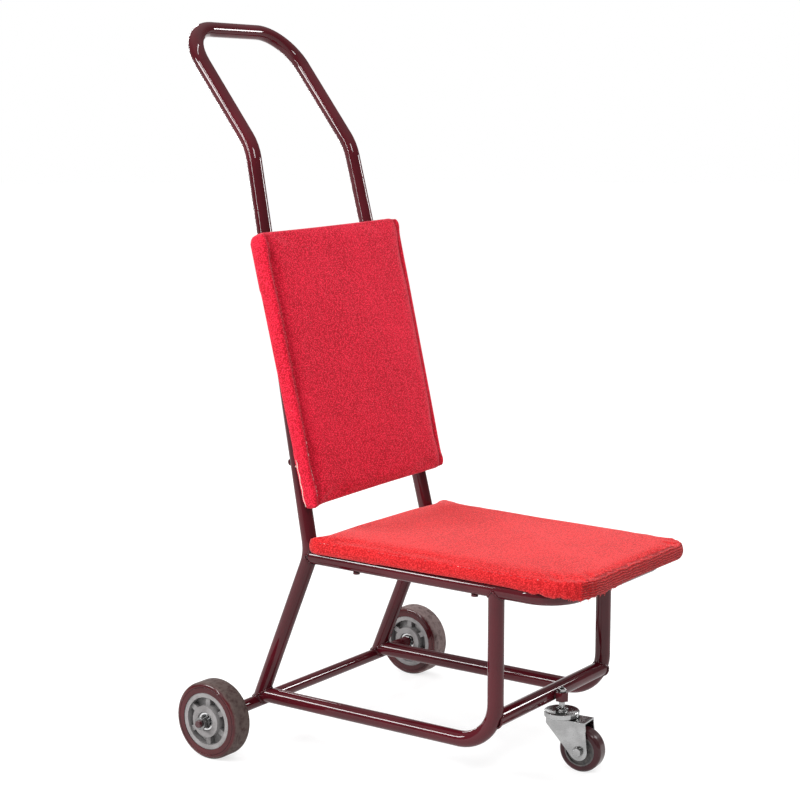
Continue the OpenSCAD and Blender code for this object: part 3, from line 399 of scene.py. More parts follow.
def terry(name, dark, bright, bloom, shade_tone, rows=None):
    """Looped terry pile: clumps, gaps between loops darkened as painted shade, pale lint, and painted shade
    in the sewn form's valleys and the rows' grooves.

    rows, where given, is the front edge's place and the reach behind it in which the loops lie in rows.
    """
    f = Finish(name, Specular_IOR_Level=0.1, Sheen_Weight=0.26, Sheen_Roughness=0.45, Sheen_Tint=bloom)
    wander = f.add("ShaderNodeTexNoise", {"Vector": f.place, "Scale": 1 / (4 * MM)}).outputs["Color"]
    aside = f.vectors("SUBTRACT", {0: wander, 1: (0.5, 0.5, 0.5)})
    loose = f.vectors("ADD", {0: f.place, 1: f.vectors("SCALE", {0: aside, "Scale": 1.6 * MM})})
    loops = f.cells(2.2 * MM, place=loose)
    clumps = f.noise(6 * MM, 3, roughness=0.6)
    lay = f.noise(90 * MM, 3)
    # Painted shade: the pile darkens towards its dark tone in the gaps between loops
    gaps = f.spread(loops, 0.18, 0.66)
    tone = f.mix(gaps, bright, dark)
    tone = f.mix(f.spread(clumps, 0.52, 0.75, 0.0, 0.5), tone, dark)
    tone = f.mix(f.spread(lay, 0.4, 0.72, 0.0, 0.15), tone, bright)
    lint = f.spread(f.noise(2.8 * MM, 1), 0.765, 0.80, 0.0, 0.55)
    tone = f.mix(lint, tone, PALE_LINT)
    f.drive("Roughness", f.spread(gaps, 0.0, 1.0, 0.82, 0.98))
    raised = f.calc("SUBTRACT", 1.0, loops)
    layers = [(raised, 0.8 * MM), (clumps, 0.9 * MM), (f.noise(22 * MM, 3), 1.0 * MM)]
    if rows:
        y_edge, reach = rows
        axes = f.axes(loose)
        wave = f.wave(f.calc("ADD", axes["Z"], f.centred(f.noise(14 * MM), 5 * MM)), 3.6 * MM)
        in_rows = f.spread(axes["Y"], y_edge + reach, y_edge + 0.4 * reach)
        layers.append((f.calc("MULTIPLY", wave, in_rows), 1.3 * MM))
        # Painted shade: the grooves between the rows darken towards the shade tone
        groove = f.calc("MULTIPLY", in_rows, f.spread(wave, 0.0, -0.8))
        tone = f.mix(f.calc("MULTIPLY", groove, 0.8), tone, shade_tone)
    # Painted shade from the sewn form: darker along the seams, in the hollows beside them, in the seat's dip
    # inside its top edges and on its lower side walls
    painted_shade = f.add("ShaderNodeAttribute", attribute_name="painted_shade").outputs["Fac"]
    f.drive("Base Color", f.mix(f.calc("MULTIPLY", painted_shade, 0.75), tone, shade_tone))
    f.relief(*layers)
    return f.material


def foam_finish():
    f = Finish("foam", Specular_IOR_Level=0.1)
    f.drive("Base Color", f.mix(f.noise(4 * MM, 3), rgba(0.62, 0.52, 0.30), rgba(0.75, 0.66, 0.42)))
    f.drive("Roughness", f.spread(f.noise(10 * MM), 0.3, 0.7, 0.8, 0.98))
    f.relief((f.cells(2 * MM), 0.4 * MM))
    return f.material


def thread_finish(name, colour, pale):
    f = Finish(name, Specular_IOR_Level=0.2, Sheen_Weight=0.2)
    twist = f.noise(1.2 * MM, 3, roughness=0.7)
    f.drive("Base Color", f.mix(f.spread(twist, 0.35, 0.65), colour, pale))
    f.drive("Roughness", f.spread(twist, 0.3, 0.7, 0.65, 0.9))
    f.relief((twist, 0.2 * MM))
    return f.material


def floor_finish():
    f = Finish("floor_finish", Specular_IOR_Level=0.05, Emission_Color=grey(1.0),
               Emission_Strength=FLOOR_GLOW)
    f.drive("Base Color", f.mix(f.noise(1.5), grey(0.33), grey(0.35)))
    f.drive("Roughness", f.spread(f.noise(0.2, 3), 0.3, 0.7, 0.7, 0.9))
    return f.material


def make_floor():
    mesh = bpy.data.meshes.new("floor")
    bm = bmesh.new()
    bmesh.ops.create_circle(bm, cap_ends=True, segments=96, radius=FLOOR_RADIUS)
    bm.to_mesh(mesh)
    bm.free()
    floor = link(bpy.data.objects.new("floor", mesh))
    mesh.materials.append(floor_finish())


# Mesh helpers

def vertex_rows(mesh, field):
    """A mesh's vertex places (co) or normals (normal), one row for each vertex."""
    flat = np.empty(len(mesh.vertices) * 3)
    mesh.vertices.foreach_get(field, flat)
    return flat.reshape(-1, 3)


def set_places(mesh, points):
    mesh.vertices.foreach_set("co", np.asarray(points, dtype=np.float32).ravel())
    mesh.update()


def piece(name, bm, material):
    """A finished mesh as a piece of the trolley."""
    bmesh.ops.recalc_face_normals(bm, faces=bm.faces)
    mesh = bpy.data.meshes.new(name)
    bm.to_mesh(mesh)
    bm.free()
    return dressed(link(bpy.data.objects.new(name, mesh)), material)


def dressed(obj, material):
    """Gives a piece its material and smooth shading, and lets it ride with the frame."""
    obj.data.materials.clear()
    obj.data.materials.append(material)
    obj.data.polygons.foreach_set("use_smooth", [True] * len(obj.data.polygons))
    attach(obj, "trolley")
    return obj


def baked(obj):
    """Replaces an object's mesh by the result of its modifiers."""
    graph = bpy.context.evaluated_depsgraph_get()
    mesh = bpy.data.meshes.new_from_object(obj.evaluated_get(graph))
    obj.modifiers.clear()
    obj.data = mesh


def surface(*names):
    """Search tree over CAD nodes or pieces."""
    points, faces = [], []
    for name in names:
        mesh = bpy.data.objects[name].data
        base = len(points)
        points += [vert.co.copy() for vert in mesh.vertices]
        faces += [[base + i for i in polygon.vertices] for polygon in mesh.polygons]
    return BVHTree.FromPolygons(points, faces)


def sweep(bm, path, radii, sides=8, closed=False):
    """A round strand along a path."""
    count = len(path)
    turns = [2 * math.pi * k / sides for k in range(sides)]
    rings = []
    normal = None
    for i, point in enumerate(path):
        after = path[(i + 1) % count] if closed or i < count - 1 else point
        before = path[i - 1] if closed or i > 0 else point
        along = (after - before).normalized()
        if normal is None:
            normal = along.orthogonal()
        normal = (normal - along * normal.dot(along)).normalized()
        across = along.cross(normal)
        spokes = [math.cos(turn) * normal + math.sin(turn) * across for turn in turns]
        rings.append([bm.verts.new(point + radii[i] * spoke) for spoke in spokes])
    if closed:
        first, last = rings[0], rings[-1]
        shift = min(range(sides), key=lambda s: (first[s].co - last[0].co).length)
        rings.append(first[shift:] + first[:shift])
    for a, b in zip(rings, rings[1:]):
        for k in range(sides):
            bm.faces.new((a[k], a[(k + 1) % sides], b[(k + 1) % sides], b[k]))
    if not closed:
        bm.faces.new(rings[0])
        bm.faces.new(rings[-1])


def places_along(path, pitch):
    """Places at even steps along a path, each with the path's direction there."""
    travelled = 0.0
    target = pitch / 2
    for a, b in zip(path, path[1:]):
        step = (b - a).length
        while travelled + step > target:
            yield a + (b - a) * ((target - travelled) / step), (b - a).normalized()
            target += pitch
        travelled += step


def half_height(node):
    low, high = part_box(node)
    return (high.z - low.z) / 2


def box_middle(node):
    low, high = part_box(node)
    return (low + high) / 2


# Frame: welds

TUBE_R = half_height("front_cross_bar")
RAIL_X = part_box("left_side_tube")[1].x - TUBE_R
RAIL_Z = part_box("left_side_tube")[0].z + TUBE_R
LEG_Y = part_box("left_side_tube")[0].y + TUBE_R
AXLE = box_middle("rear_axle_tube")
CROSS_BAR = box_middle("front_cross_bar")
WELD_R = 1.8 * MM
WELD_STEPS = 120
WELD_RIPPLES = 30
WELD_RUN = 70 * MM
# Radius of the row of weld beads round a tube, in tube radii
WELD_ROW = 1.01
# Ripple and roughness of a bead, in bead radii
WELD_RIPPLE = 0.16
WELD_ROUGH = 0.06
LEG_WELD_REACH = -3 * MM
NUT_WELD_STEPS = 48
NUT_WELD_INSET = 2 * MM
NUT_WELD_HALF_Z = 4.6 * MM
NUT_WELD_PROUD = 0.6 * MM
NUT_WELD_ROUGH = (-0.15, 0.2)


def middle_at(tree, x, z):
    """Middle of a tube's thickness along Y at that height."""
    far = 2.0
    front = tree.ray_cast(Vector((x, -far, z)), Vector((0, 1, 0)))[0]
    rear = tree.ray_cast(Vector((x, far, z)), Vector((0, -1, 0)))[0]
    return (front.y + rear.y) / 2


def weld(bm, joint, along, onto, reach=0.0):
    """A rippled bead where a tube that comes in along a direction meets other nodes.

    reach is how far past the joint the tube goes on where it meets nothing.
    """
    along = along.normalized()
    side = along.orthogonal().normalized()
    up = along.cross(side)
    start = joint - WELD_RUN * along
    runs = []
    spokes = []
    for i in range(WELD_STEPS):
        turn = 2 * math.pi * i / WELD_STEPS
        spoke = TUBE_R * (math.cos(turn) * side + math.sin(turn) * up)
        hit = onto.ray_cast(start + spoke, along, WELD_RUN + reach)
        runs.append(hit[3] if hit[0] else WELD_RUN + reach)
        spokes.append(spoke)
    window = range(-2, 3)
    runs = [sum(runs[(i + k) % WELD_STEPS] for k in window) / len(window) for i in range(WELD_STEPS)]
    phase = dice.uniform(0, 2 * math.pi)
    radii = []
    path = []
    for i, run in enumerate(runs):
        ripple = math.sin(WELD_RIPPLES * 2 * math.pi * i / WELD_STEPS + phase)
        radii.append(WELD_R * (1 + WELD_RIPPLE * ripple + dice.uniform(-WELD_ROUGH, WELD_ROUGH)))
        path.append(start + WELD_ROW * spokes[i] + run * along)
    sweep(bm, path, radii, closed=True)


def make_welds(paint):
    back = surface("back_frame_tube")
    axle = surface("rear_axle_tube")
    loop = surface("seat_loop_tube")
    sides = surface("left_side_tube", "right_side_tube")
    low_z, high_z = RAIL_Z + 2 * TUBE_R, RAIL_Z + 8 * TUBE_R
    leg_run = middle_at(back, RAIL_X, high_z) - middle_at(back, RAIL_X, low_z)
    leg_rise = Vector((0, leg_run, high_z - low_z))
    loop_low, loop_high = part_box("seat_loop_tube")
    rail_fall = (loop_high.z - loop_low.z - 2 * TUBE_R) / (loop_high.y - loop_low.y)
    seat_z = loop_high.z - TUBE_R
    seat_y = middle_at(back, RAIL_X, seat_z)
    leg_top_z = seat_z - rail_fall * (seat_y - LEG_Y)
    rail_y = {x: middle_at(back, x, RAIL_Z) for x in (-RAIL_X, RAIL_X)}
    groups = {name: bmesh.new() for name in
              ("leg_welds", "lower_rail_welds", "seat_rail_welds", "front_leg_welds", "cross_bar_welds")}
    for x, y in rail_y.items():
        weld(groups["leg_welds"], Vector((x, AXLE.y, AXLE.z)), -leg_rise, axle, LEG_WELD_REACH)
        weld(groups["lower_rail_welds"], Vector((x, y, RAIL_Z)), Vector((0, 1, 0)), back)
        weld(groups["seat_rail_welds"], Vector((x, seat_y, seat_z)), Vector((0, 1, rail_fall)), back)
        weld(groups["front_leg_welds"], Vector((x, LEG_Y, leg_top_z)), Vector((0, 0, 1)), loop)
        weld(groups["cross_bar_welds"], Vector((x, CROSS_BAR.y, CROSS_BAR.z)), Vector((x, 0, 0)), sides)
    for name, bm in groups.items():
        piece(name, bm, paint)


def make_nut_weld(paint):
    """Bead round the seat of the caster's weld nut on the cross bar."""
    low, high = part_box("stem_weld_nut")
    half_x = (high.x - low.x) / 2 - NUT_WELD_INSET
    path = []
    radii = []
    for i in range(NUT_WELD_STEPS):
        turn = 2 * math.pi * i / NUT_WELD_STEPS
        x = half_x * math.copysign(abs(math.cos(turn)) ** 0.5, math.cos(turn))
        z = NUT_WELD_HALF_Z * math.copysign(abs(math.sin(turn)) ** 0.5, math.sin(turn))
        y = CROSS_BAR.y - math.sqrt(TUBE_R ** 2 - z ** 2) - NUT_WELD_PROUD
        path.append(Vector((x, y, CROSS_BAR.z + z)))
        radii.append(WELD_R * (1 + dice.uniform(*NUT_WELD_ROUGH)))
    bm = bmesh.new()
    sweep(bm, path, radii, closed=True)
    piece("stem_nut_weld", bm, paint)


# Pads: frame and start form

VOXEL = 5 * MM
CLOTH_FRAMES = 20
CLOTH_T = 1.5 * MM
HEM_W = 10 * MM
HEM_WAVE = 1.2 * MM
# Radians of the hem's wave for each metre along u and v
HEM_WAVE_TURN = (90, 70)
# A face is under the board if its normal points down at least so far, and it lies below this height
UNDER_NORMAL = -0.7
UNDER_HEIGHT = 2 * MM
SLACK = 0.4 * MM
WRAP_R = 4 * MM
SHOULDER_R = 5.5 * MM
# Part of a pad's crown that its swelling gives
SWELL_RISE = 2.5 * MM
# Height over the hem side below which the cloth is held while it swells
HELD_BELOW = 3 * MM
SWELL_CAP = 3 * MM
DRAW_LIMIT = 0.3 * MM
SIDE_PULL = 1 * MM


class Pad:
    """A pad's own frame, read from its CAD nodes: u across, v along, w out of its face, w = 0 at the hem."""

    def __init__(self, cover, board, face, up, edge, corners, crown, taper=0.0, fall=0.0):
        self.edge, self.corners, self.crown, self.taper, self.fall = edge, corners, crown, taper, fall
        widest = max(NODES[board].data.polygons, key=lambda polygon: polygon.area)
        w = np.array(widest.normal)
        w = w if w @ np.array(face) > 0 else -w
        points = np.unique(np.round(vertex_rows(NODES[cover].data, "co"), 6), axis=0)
        flat = points - np.outer(points @ w, w)
        _, axes = np.linalg.eigh(np.cov(flat.T))
        v = axes[:, 2]
        v = v if v @ np.array(up) > 0 else -v
        u = np.cross(v, w)
        basis = np.column_stack((u, v, w))
        local = points @ basis
        low, high = local.min(0), local.max(0)
        middle = (low + high) / 2
        self.half = (high - low)[:2] / 2
        origin = basis @ np.array([middle[0], middle[1], low[2]])
        self.matrix = Matrix.Translation(origin) @ Matrix(basis.tolist()).to_4x4()

    def axis(self, index):
        """Direction of u, v or w in the trolley's frame."""
        return Vector(self.matrix.col[index][:3])

    def narrowing(self, v):
        """Share of the full width left at a place along the pad, where it tapers to its front edge."""
        return 1 - self.taper / self.half[0] * (self.half[1] - v) / (2 * self.half[1])

    def depth(self, points):
        """Distance inside the rounded outline of points in the pad's frame."""
        r = np.where(points[:, 1] < 0, self.corners[0], self.corners[1])
        square = np.column_stack((points[:, 0] / self.narrowing(points[:, 1]), points[:, 1]))
        past = np.abs(square) - (self.half[None, :] - r[:, None])
        outside = np.linalg.norm(np.maximum(past, 0), axis=1)
        return r - outside - np.minimum(np.maximum(past[:, 0], past[:, 1]), 0)

    def inward(self, points):
        """Unit directions across the pad in which its edge lies farther away."""
        tiny = 0.1 * MM
        rise = [self.depth(points + tiny * np.eye(3)[k]) - self.depth(points) for k in (0, 1)]
        slope = np.column_stack((rise[0], rise[1], np.zeros(len(points))))
        return slope / np.maximum(np.linalg.norm(slope, axis=1, keepdims=True), 1e-12)

    def outline(self, inset, per_corner=10, per_side=18):
        """Closed row of points at that inset; the sides are drawn in between the corners."""
        x, y = self.half - inset
        corners = []
        for k, (sx, sy) in enumerate(((1, -1), (1, 1), (-1, 1), (-1, -1))):
            r = max(self.corners[0 if sy < 0 else 1] - inset, 2 * MM)
            turns = [math.pi / 2 * (k - 1 + i / per_corner) for i in range(per_corner + 1)]
            corners.append([(sx * (x - r) + r * math.cos(t), sy * (y - r) + r * math.sin(t)) for t in turns])
        row = []
        for k, corner in enumerate(corners):
            row += corner
            a, b = np.array(corner[-1]), np.array(corners[(k + 1) % 4][0])
            inward = np.array([-(b - a)[1], (b - a)[0]]) / np.linalg.norm(b - a)
            for i in range(1, per_side):
                s = i / per_side
                row.append(tuple(a + s * (b - a) + 4 * s * (1 - s) * SIDE_PULL * inward))
        return [(x * self.narrowing(y), y) for x, y in row]

    def sunk(self, y, z):
        """Height of a point after the top's fall towards the front edge."""
        share = max(0.0, z / self.edge - 0.5) / 0.5
        return z - self.fall * share * (self.half[1] - y) / (2 * self.half[1])


def pad_solid(pad, name):
    """Closed start form of a cushion: flat hem side, drawn-in sides, round shoulder, low crown."""
    quarter = math.pi / 2
    top = pad.edge
    rise = pad.crown - SWELL_RISE
    across = min(pad.half) - SHOULDER_R
    rings = [(HEM_W, 0.0), (SLACK + WRAP_R, 0.0)]
    rings += [(SLACK + WRAP_R * (1 - math.sin(a)), WRAP_R * (1 - math.cos(a))) for a in (0.5, 1.0, quarter)]
    rings += [(SLACK + SHOULDER_R * (1 - math.cos(a)), top - SHOULDER_R * (1 - math.sin(a)))
              for a in (0.0, 0.4, 0.8, 1.2, quarter)]
    rings += [(SHOULDER_R + s * across, top + rise * s * (2 - s)) for s in (0.15, 0.4, 0.7, 0.9)]
    bm = bmesh.new()
    rows = [[bm.verts.new((x, y, pad.sunk(y, z))) for x, y in pad.outline(inset)] for inset, z in rings]
    for a, b in zip(rows, rows[1:]):
        for i in range(len(a)):
            j = (i + 1) % len(a)
            bm.faces.new((a[i], a[j], b[j], b[i]))
    bm.faces.new(rows[0])
    bm.faces.new(rows[-1])
    bmesh.ops.triangulate(bm, faces=[face for face in bm.faces if len(face.verts) > 4])
    bmesh.ops.recalc_face_normals(bm, faces=bm.faces)
    mesh = bpy.data.meshes.new(name)
    bm.to_mesh(mesh)
    bm.free()
    return link(bpy.data.objects.new(name, mesh))


def swell(obj, pad):
    """Lets the cover's cloth swell under pressure, held at its hem; the filling stops it moving inward."""
    rest = vertex_rows(obj.data, "co")
    held = [int(i) for i in np.nonzero(rest[:, 2] < HELD_BELOW)[0]]
    obj.vertex_groups.new(name="held").add(held, 1.0, "REPLACE")
    cloth = obj.modifiers.new("swell", "CLOTH")
    cloth.settings.quality = 6
    cloth.settings.mass = 0.25
    cloth.settings.tension_stiffness = 18
    cloth.settings.compression_stiffness = 18
    cloth.settings.bending_stiffness = 0.6
    cloth.settings.use_pressure = True
    cloth.settings.uniform_pressure_force = 4.0
    cloth.settings.vertex_group_mass = "held"
    cloth.settings.effector_weights.gravity = 0
    cloth.point_cache.frame_start = 1
    cloth.point_cache.frame_end = CLOTH_FRAMES
    for step in range(1, CLOTH_FRAMES + 1):
        bpy.context.scene.frame_set(step)
    graph = bpy.context.evaluated_depsgraph_get()
    moved = vertex_rows(obj.evaluated_get(graph).data, "co") - rest
    obj.modifiers.clear()
    obj.vertex_groups.clear()
    bpy.context.scene.frame_set(1)
    inward = pad.inward(rest)
    draw = np.sum(moved * inward, axis=1) - DRAW_LIMIT
    moved -= np.maximum(draw, 0)[:, None] * inward
    far = np.linalg.norm(moved, axis=1, keepdims=True)
    set_places(obj.data, rest + moved * SWELL_CAP * np.tanh(far / SWELL_CAP) / np.maximum(far, 1e-9))


def open_hem(obj, pad):
    """Cuts the cloth away under the board and trims the hem to an even, slightly wavy width."""
    bm = bmesh.new()
    bm.from_mesh(obj.data)
    inner = []
    for face in bm.faces:
        centre = np.array([face.calc_center_median()])
        under = face.normal.z < UNDER_NORMAL and centre[0, 2] < UNDER_HEIGHT
        if under and pad.depth(centre)[0] > HEM_W:
            inner.append(face)
    bmesh.ops.delete(bm, geom=inner, context="FACES")
    for vert in [v for v in bm.verts if v.is_boundary]:
        at = np.array([vert.co[:]])
        wave = HEM_WAVE * math.sin(at[0, 0] * HEM_WAVE_TURN[0] + at[0, 1] * HEM_WAVE_TURN[1])
        vert.co += Vector((HEM_W + wave - pad.depth(at)[0]) * pad.inward(at)[0])
    bm.to_mesh(obj.data)
    bm.free()


def pad_piece(pad, name, shape):
    """The padded piece: remeshed, swelled as cloth, sewn into shape, and given the cloth's thickness."""
    obj = pad_solid(pad, name)
    remesh = obj.modifiers.new("even", "REMESH")
    remesh.mode = "VOXEL"
    remesh.voxel_size = VOXEL
    baked(obj)
    swell(obj, pad)
    obj.modifiers.new("fine", "SUBSURF").levels = 1
    baked(obj)
    moved, painted_shade = shape(pad, vertex_rows(obj.data, "co"), vertex_rows(obj.data, "normal"))
    set_places(obj.data, moved)
    # Stores each point's share of painted shade for the pile's colour
    obj.data.attributes.new("painted_shade", "FLOAT", "POINT").data.foreach_set("value", painted_shade.astype(np.float32))
    open_hem(obj, pad)
    shell = obj.modifiers.new("cloth", "SOLIDIFY")
    shell.thickness = CLOTH_T
    shell.offset = -1
    baked(obj)
    obj.data.transform(pad.matrix)
    obj.data.update()
    return obj


# Pads: sewn forms

# Distance of the seat's seam below its top edge, and how far each form of its cover goes
SEAT_SEAM = 7 * MM
SEAT_PINCH = 0.8 * MM
SEAT_SLACK = 1.4 * MM
SEAT_BROW = 1.4 * MM
SEAT_DIP = 1.5 * MM
SEAT_GATHER = 0.7 * MM
GATHERS_PER_RADIAN = 22
SEAT_HANG = 4.5 * MM
LOOSE_HANG = 4 * MM
LOOSE_RAGGED = 1.4 * MM
REAR_BULGE = 8 * MM
# Distance of the back pad's seams from its sides, and how far each form of its cover goes
BACK_SEAM = 11 * MM
BACK_PINCH = 2.4 * MM
BACK_HOLLOW = 2.4 * MM
BACK_ROLL = 1.2 * MM
BACK_DRAPE = 0.5 * MM
BACK_HANG = 6 * MM
BACK_FULLNESS = 2.5 * MM
TIP_DROP = 6.5 * MM
TIP_REACH = 1.2 * MM


def bump_at(x, middle, width):
    return np.exp(-((x - middle) / width) ** 2)


def step_between(x, start, end):
    """Smooth rise from 0 at the start to 1 at the end, which may lie below the start."""
    t = np.clip((x - start) / (end - start), 0, 1)
    return t * t * (3 - 2 * t)


def loose_corner(pad, points):
    """Share, over the seat's right front corner, in which the cover's hem has come loose and hangs."""
    from_front = points[:, 1] + pad.half[1]
    from_right = points[:, 0] + pad.half[0]
    return step_between(from_front, 130 * MM, 55 * MM) * step_between(from_right, 190 * MM, 50 * MM)


def corner_gathers(pad, points, depth):
    """Radial folds where the seat's cover is drawn round its front corners."""
    u, v, w = points.T
    aside = np.abs(u) - (pad.half[0] - pad.corners[0])
    ahead = pad.corners[0] - pad.half[1] - v
    fold = np.sin(GATHERS_PER_RADIAN * np.arctan2(-ahead, aside))
    round_corner = step_between(np.minimum(aside, ahead), -10 * MM, 14 * MM)
    near_edge = step_between(depth, 34 * MM, 4 * MM) * step_between(w, 3 * MM, 9 * MM)
    return SEAT_GATHER * fold * round_corner * near_edge


def seat_shape(pad, points, normals):
    """Sewn form of the seat.

    A seam runs under the top edge, above a slack lower side. The front edge is full, the top dips along its
    sides, the cover is gathered at the front corners, its hem hangs, and its right rear corner stands out.
    Returns the moved points and each point's share of painted shade, on the lower side walls and along the
    dip inside the top's edges.
    """
    u, v, w = points.T
    depth = pad.depth(points)
    from_front, from_rear = pad.half[1] + v, pad.half[1] - v
    from_side = pad.half[0] * pad.narrowing(v) - np.abs(u)
    wall = step_between(depth, 14 * MM, 6 * MM)
    front = step_between(from_front, 70 * MM, 30 * MM)
    top = step_between(w, 0.55 * pad.edge, 0.8 * pad.edge)
    top *= step_between(from_front, 15 * MM, 70 * MM) * step_between(from_rear, 10 * MM, 50 * MM)

    pinch = -SEAT_PINCH * bump_at(w, pad.edge - SEAT_SEAM, 2.6 * MM) * wall
    slack = SEAT_SLACK * bump_at(w, 8 * MM, 6 * MM) * wall
    slack *= 0.6 + 0.4 * np.sin(v * 55 + 1.3 * np.sin(v * 21))
    brow = SEAT_BROW * front * wall * bump_at(w, 0.72 * pad.edge, 5 * MM)
    dip = -SEAT_DIP * top * bump_at(from_side, 20 * MM, 13 * MM)
    gathers = corner_gathers(pad, points, depth)
    moved = points + normals * (pinch + slack + gathers + dip + brow)[:, None]

    hem = bump_at(w, 0, 9 * MM) * step_between(depth, 12 * MM, 4 * MM)
    ragged = np.sin(u * 160 + v * 210) + 0.6 * np.sin(u * 410 - v * 340)
    moved[:, 2] -= hem * (SEAT_HANG + loose_corner(pad, points) * (LOOSE_HANG + LOOSE_RAGGED * ragged))
    right_side = step_between(-u, pad.half[0] - 12 * MM, pad.half[0] - 6 * MM)
    moved[:, 1] += REAR_BULGE * right_side * step_between(from_rear, 30 * MM, 0)
    # Painted shade on the lower side walls, and along the dip inside the top's edges
    painted_wall_shade = 0.28 * wall * step_between(w, 0.9 * pad.edge, 0.7 * pad.edge)
    return moved, np.maximum(painted_wall_shade, 0.22 * top * bump_at(from_side, 14 * MM, 12 * MM))


def back_shape(pad, points, normals):
    """Sewn form of the back pad.

    Its edges are rolled outside two seams, with a soft hollow inside them. Its lower right corner is drawn
    out, and its full sides hang back beside the uprights.
    Returns the moved points and each point's share of painted shade, along the seams and in the hollows
    beside them.
    """
    u, v, w = points.T
    from_side = pad.half[0] - np.abs(u)
    face = step_between(w, 0.55 * pad.edge, 0.85 * pad.edge)
    panel = step_between(from_side, BACK_SEAM - 2 * MM, BACK_SEAM + 2 * MM)
    seam = -BACK_PINCH * bump_at(from_side, BACK_SEAM, 2.6 * MM)
    hollow = -BACK_HOLLOW * panel * bump_at(from_side, BACK_SEAM, 14 * MM)
    roll = BACK_ROLL * bump_at(from_side, 5 * MM, 3.5 * MM)
    drape = BACK_DRAPE * np.sin(v * 34 + 2.0 * np.sin(u * 18)) * step_between(from_side, 10 * MM, 60 * MM)
    moved = points + normals * (face * (seam + hollow + roll + drape))[:, None]

    tip = bump_at(np.hypot(u + pad.half[0], v + pad.half[1]), 0, 17 * MM)
    moved[:, 1] -= TIP_DROP * tip
    moved[:, 0] -= TIP_REACH * tip
    high_up = 0.25 + 0.75 * np.sin(np.pi / 4 * (v + pad.half[1]) / pad.half[1])
    hem = bump_at(w, 0, 9 * MM) * step_between(from_side, 12 * MM, 4 * MM)
    moved[:, 2] -= BACK_HANG * high_up * hem
    moved[:, 0] += np.sign(u) * BACK_FULLNESS * high_up * step_between(from_side, 45 * MM, 4 * MM)
    # Painted shade along the seams and in the hollows beside them
    shadow = 0.55 * panel * bump_at(from_side, BACK_SEAM + 3 * MM, 7 * MM)
    return moved, face * np.maximum(bump_at(from_side, BACK_SEAM, 1.8 * MM), shadow)


# Pads: staples, stitches and threads

STAPLE_PITCH = 42 * MM
STAPLE_INSET = 7 * MM
STAPLE_HALF = 5 * MM
STAPLE_WIRE = 0.45 * MM
STAPLE_SUNK = 1.0 * MM
STAPLE_FLUSH = 0.1 * MM
STAPLE_TILT = 0.18
STITCH_R = 0.5 * MM
STITCH_PITCH = 6.5 * MM
STITCH_LENGTH = 4.6 * MM
SHORT_STITCH = 2.4 * MM
# Places along a stitch in stitch lengths, its lift in thread radii, and its thickness in thread radii
STITCH_ARC = (
    (-0.5, -0.5, 0.5),
    (-0.3, 0.35, 0.95),
    (0.0, 0.6, 1.0),
    (0.3, 0.35, 0.95),
    (0.5, -0.5, 0.5),
)
# Distances of the seams' ends from the pads' ends, and of the upper end of the back seams' worn part
BACK_SEAM_END = 14 * MM
BACK_WORN_END = 160 * MM
SEAT_SEAM_FRONT = 60 * MM
SEAT_SEAM_REAR = 20 * MM
# Shares of the stitches that are left in each seam; the back's right seam, at -1, is the more worn
BACK_RED = 0.8
BACK_PALE = {-1: 0.5, 1: 0.15}
SEAT_RED = 0.6
SEAT_PALE = 0.15
# Distances from which rays look for a pad's surface
PROBE = 60 * MM
SHORT_PROBE = 40 * MM
SELVAGE_STEPS = 24
SELVAGE_FOOT = 2 * MM
SELVAGE_LENGTH = 72 * MM
SELVAGE_W = 3.5 * MM
SELVAGE_WAVE = 0.8 * MM
SELVAGE_PROUD = 0.3 * MM
SELVAGE_R = (0.6 * MM, 0.95 * MM)
SELVAGE_ENDS = 6
SELVAGE_END_LENGTH = (4 * MM, 8 * MM)
FRINGE_INSET = 4 * MM
FRINGE_SHARE = 0.4
FRINGE_LENGTH = (2 * MM, 4.5 * MM)
THREAD_R = 0.32 * MM
THREAD_TIP_R = 0.15 * MM


def staples(pad, name, steel):
    """Wire staples along the hem under the board."""
    row = [Vector((x, y, 0)) for x, y in pad.outline(STAPLE_INSET)]
    bm = bmesh.new()
    for place, run in places_along(row + row[:1], STAPLE_PITCH):
        along = Matrix.Rotation(dice.uniform(-STAPLE_TILT, STAPLE_TILT), 3, "Z") @ run
        bends = (-1, STAPLE_SUNK), (-1, STAPLE_FLUSH), (1, STAPLE_FLUSH), (1, STAPLE_SUNK)
        points = [place + end * STAPLE_HALF * along + Vector((0, 0, sunk)) for end, sunk in bends]
        sweep(bm, [pad.matrix @ point for point in points], [STAPLE_WIRE] * len(points), sides=6)
    piece(name, bm, steel)


def stitches(bm, tree, path, look, keep, length=STITCH_LENGTH):
    """Lays that share of a row of stitches on a surface, which is met in the direction of look."""
    radii = [STITCH_R * thick for _, _, thick in STITCH_ARC]
    for middle, along in places_along(path, STITCH_PITCH):
        points = []
        for share, lift, _ in STITCH_ARC:
            probe = middle + share * length * along - PROBE * look
            hit = tree.ray_cast(probe, look, 2 * PROBE)
            if hit[0]:
                points.append(hit[0] - lift * STITCH_R * look)
        if len(points) == len(STITCH_ARC) and dice.random() < keep:
            sweep(bm, points, radii, sides=6)


def thread_piece(name, bm, thread, colour, pale):
    piece(name, bm, thread_finish(thread, colour, pale))


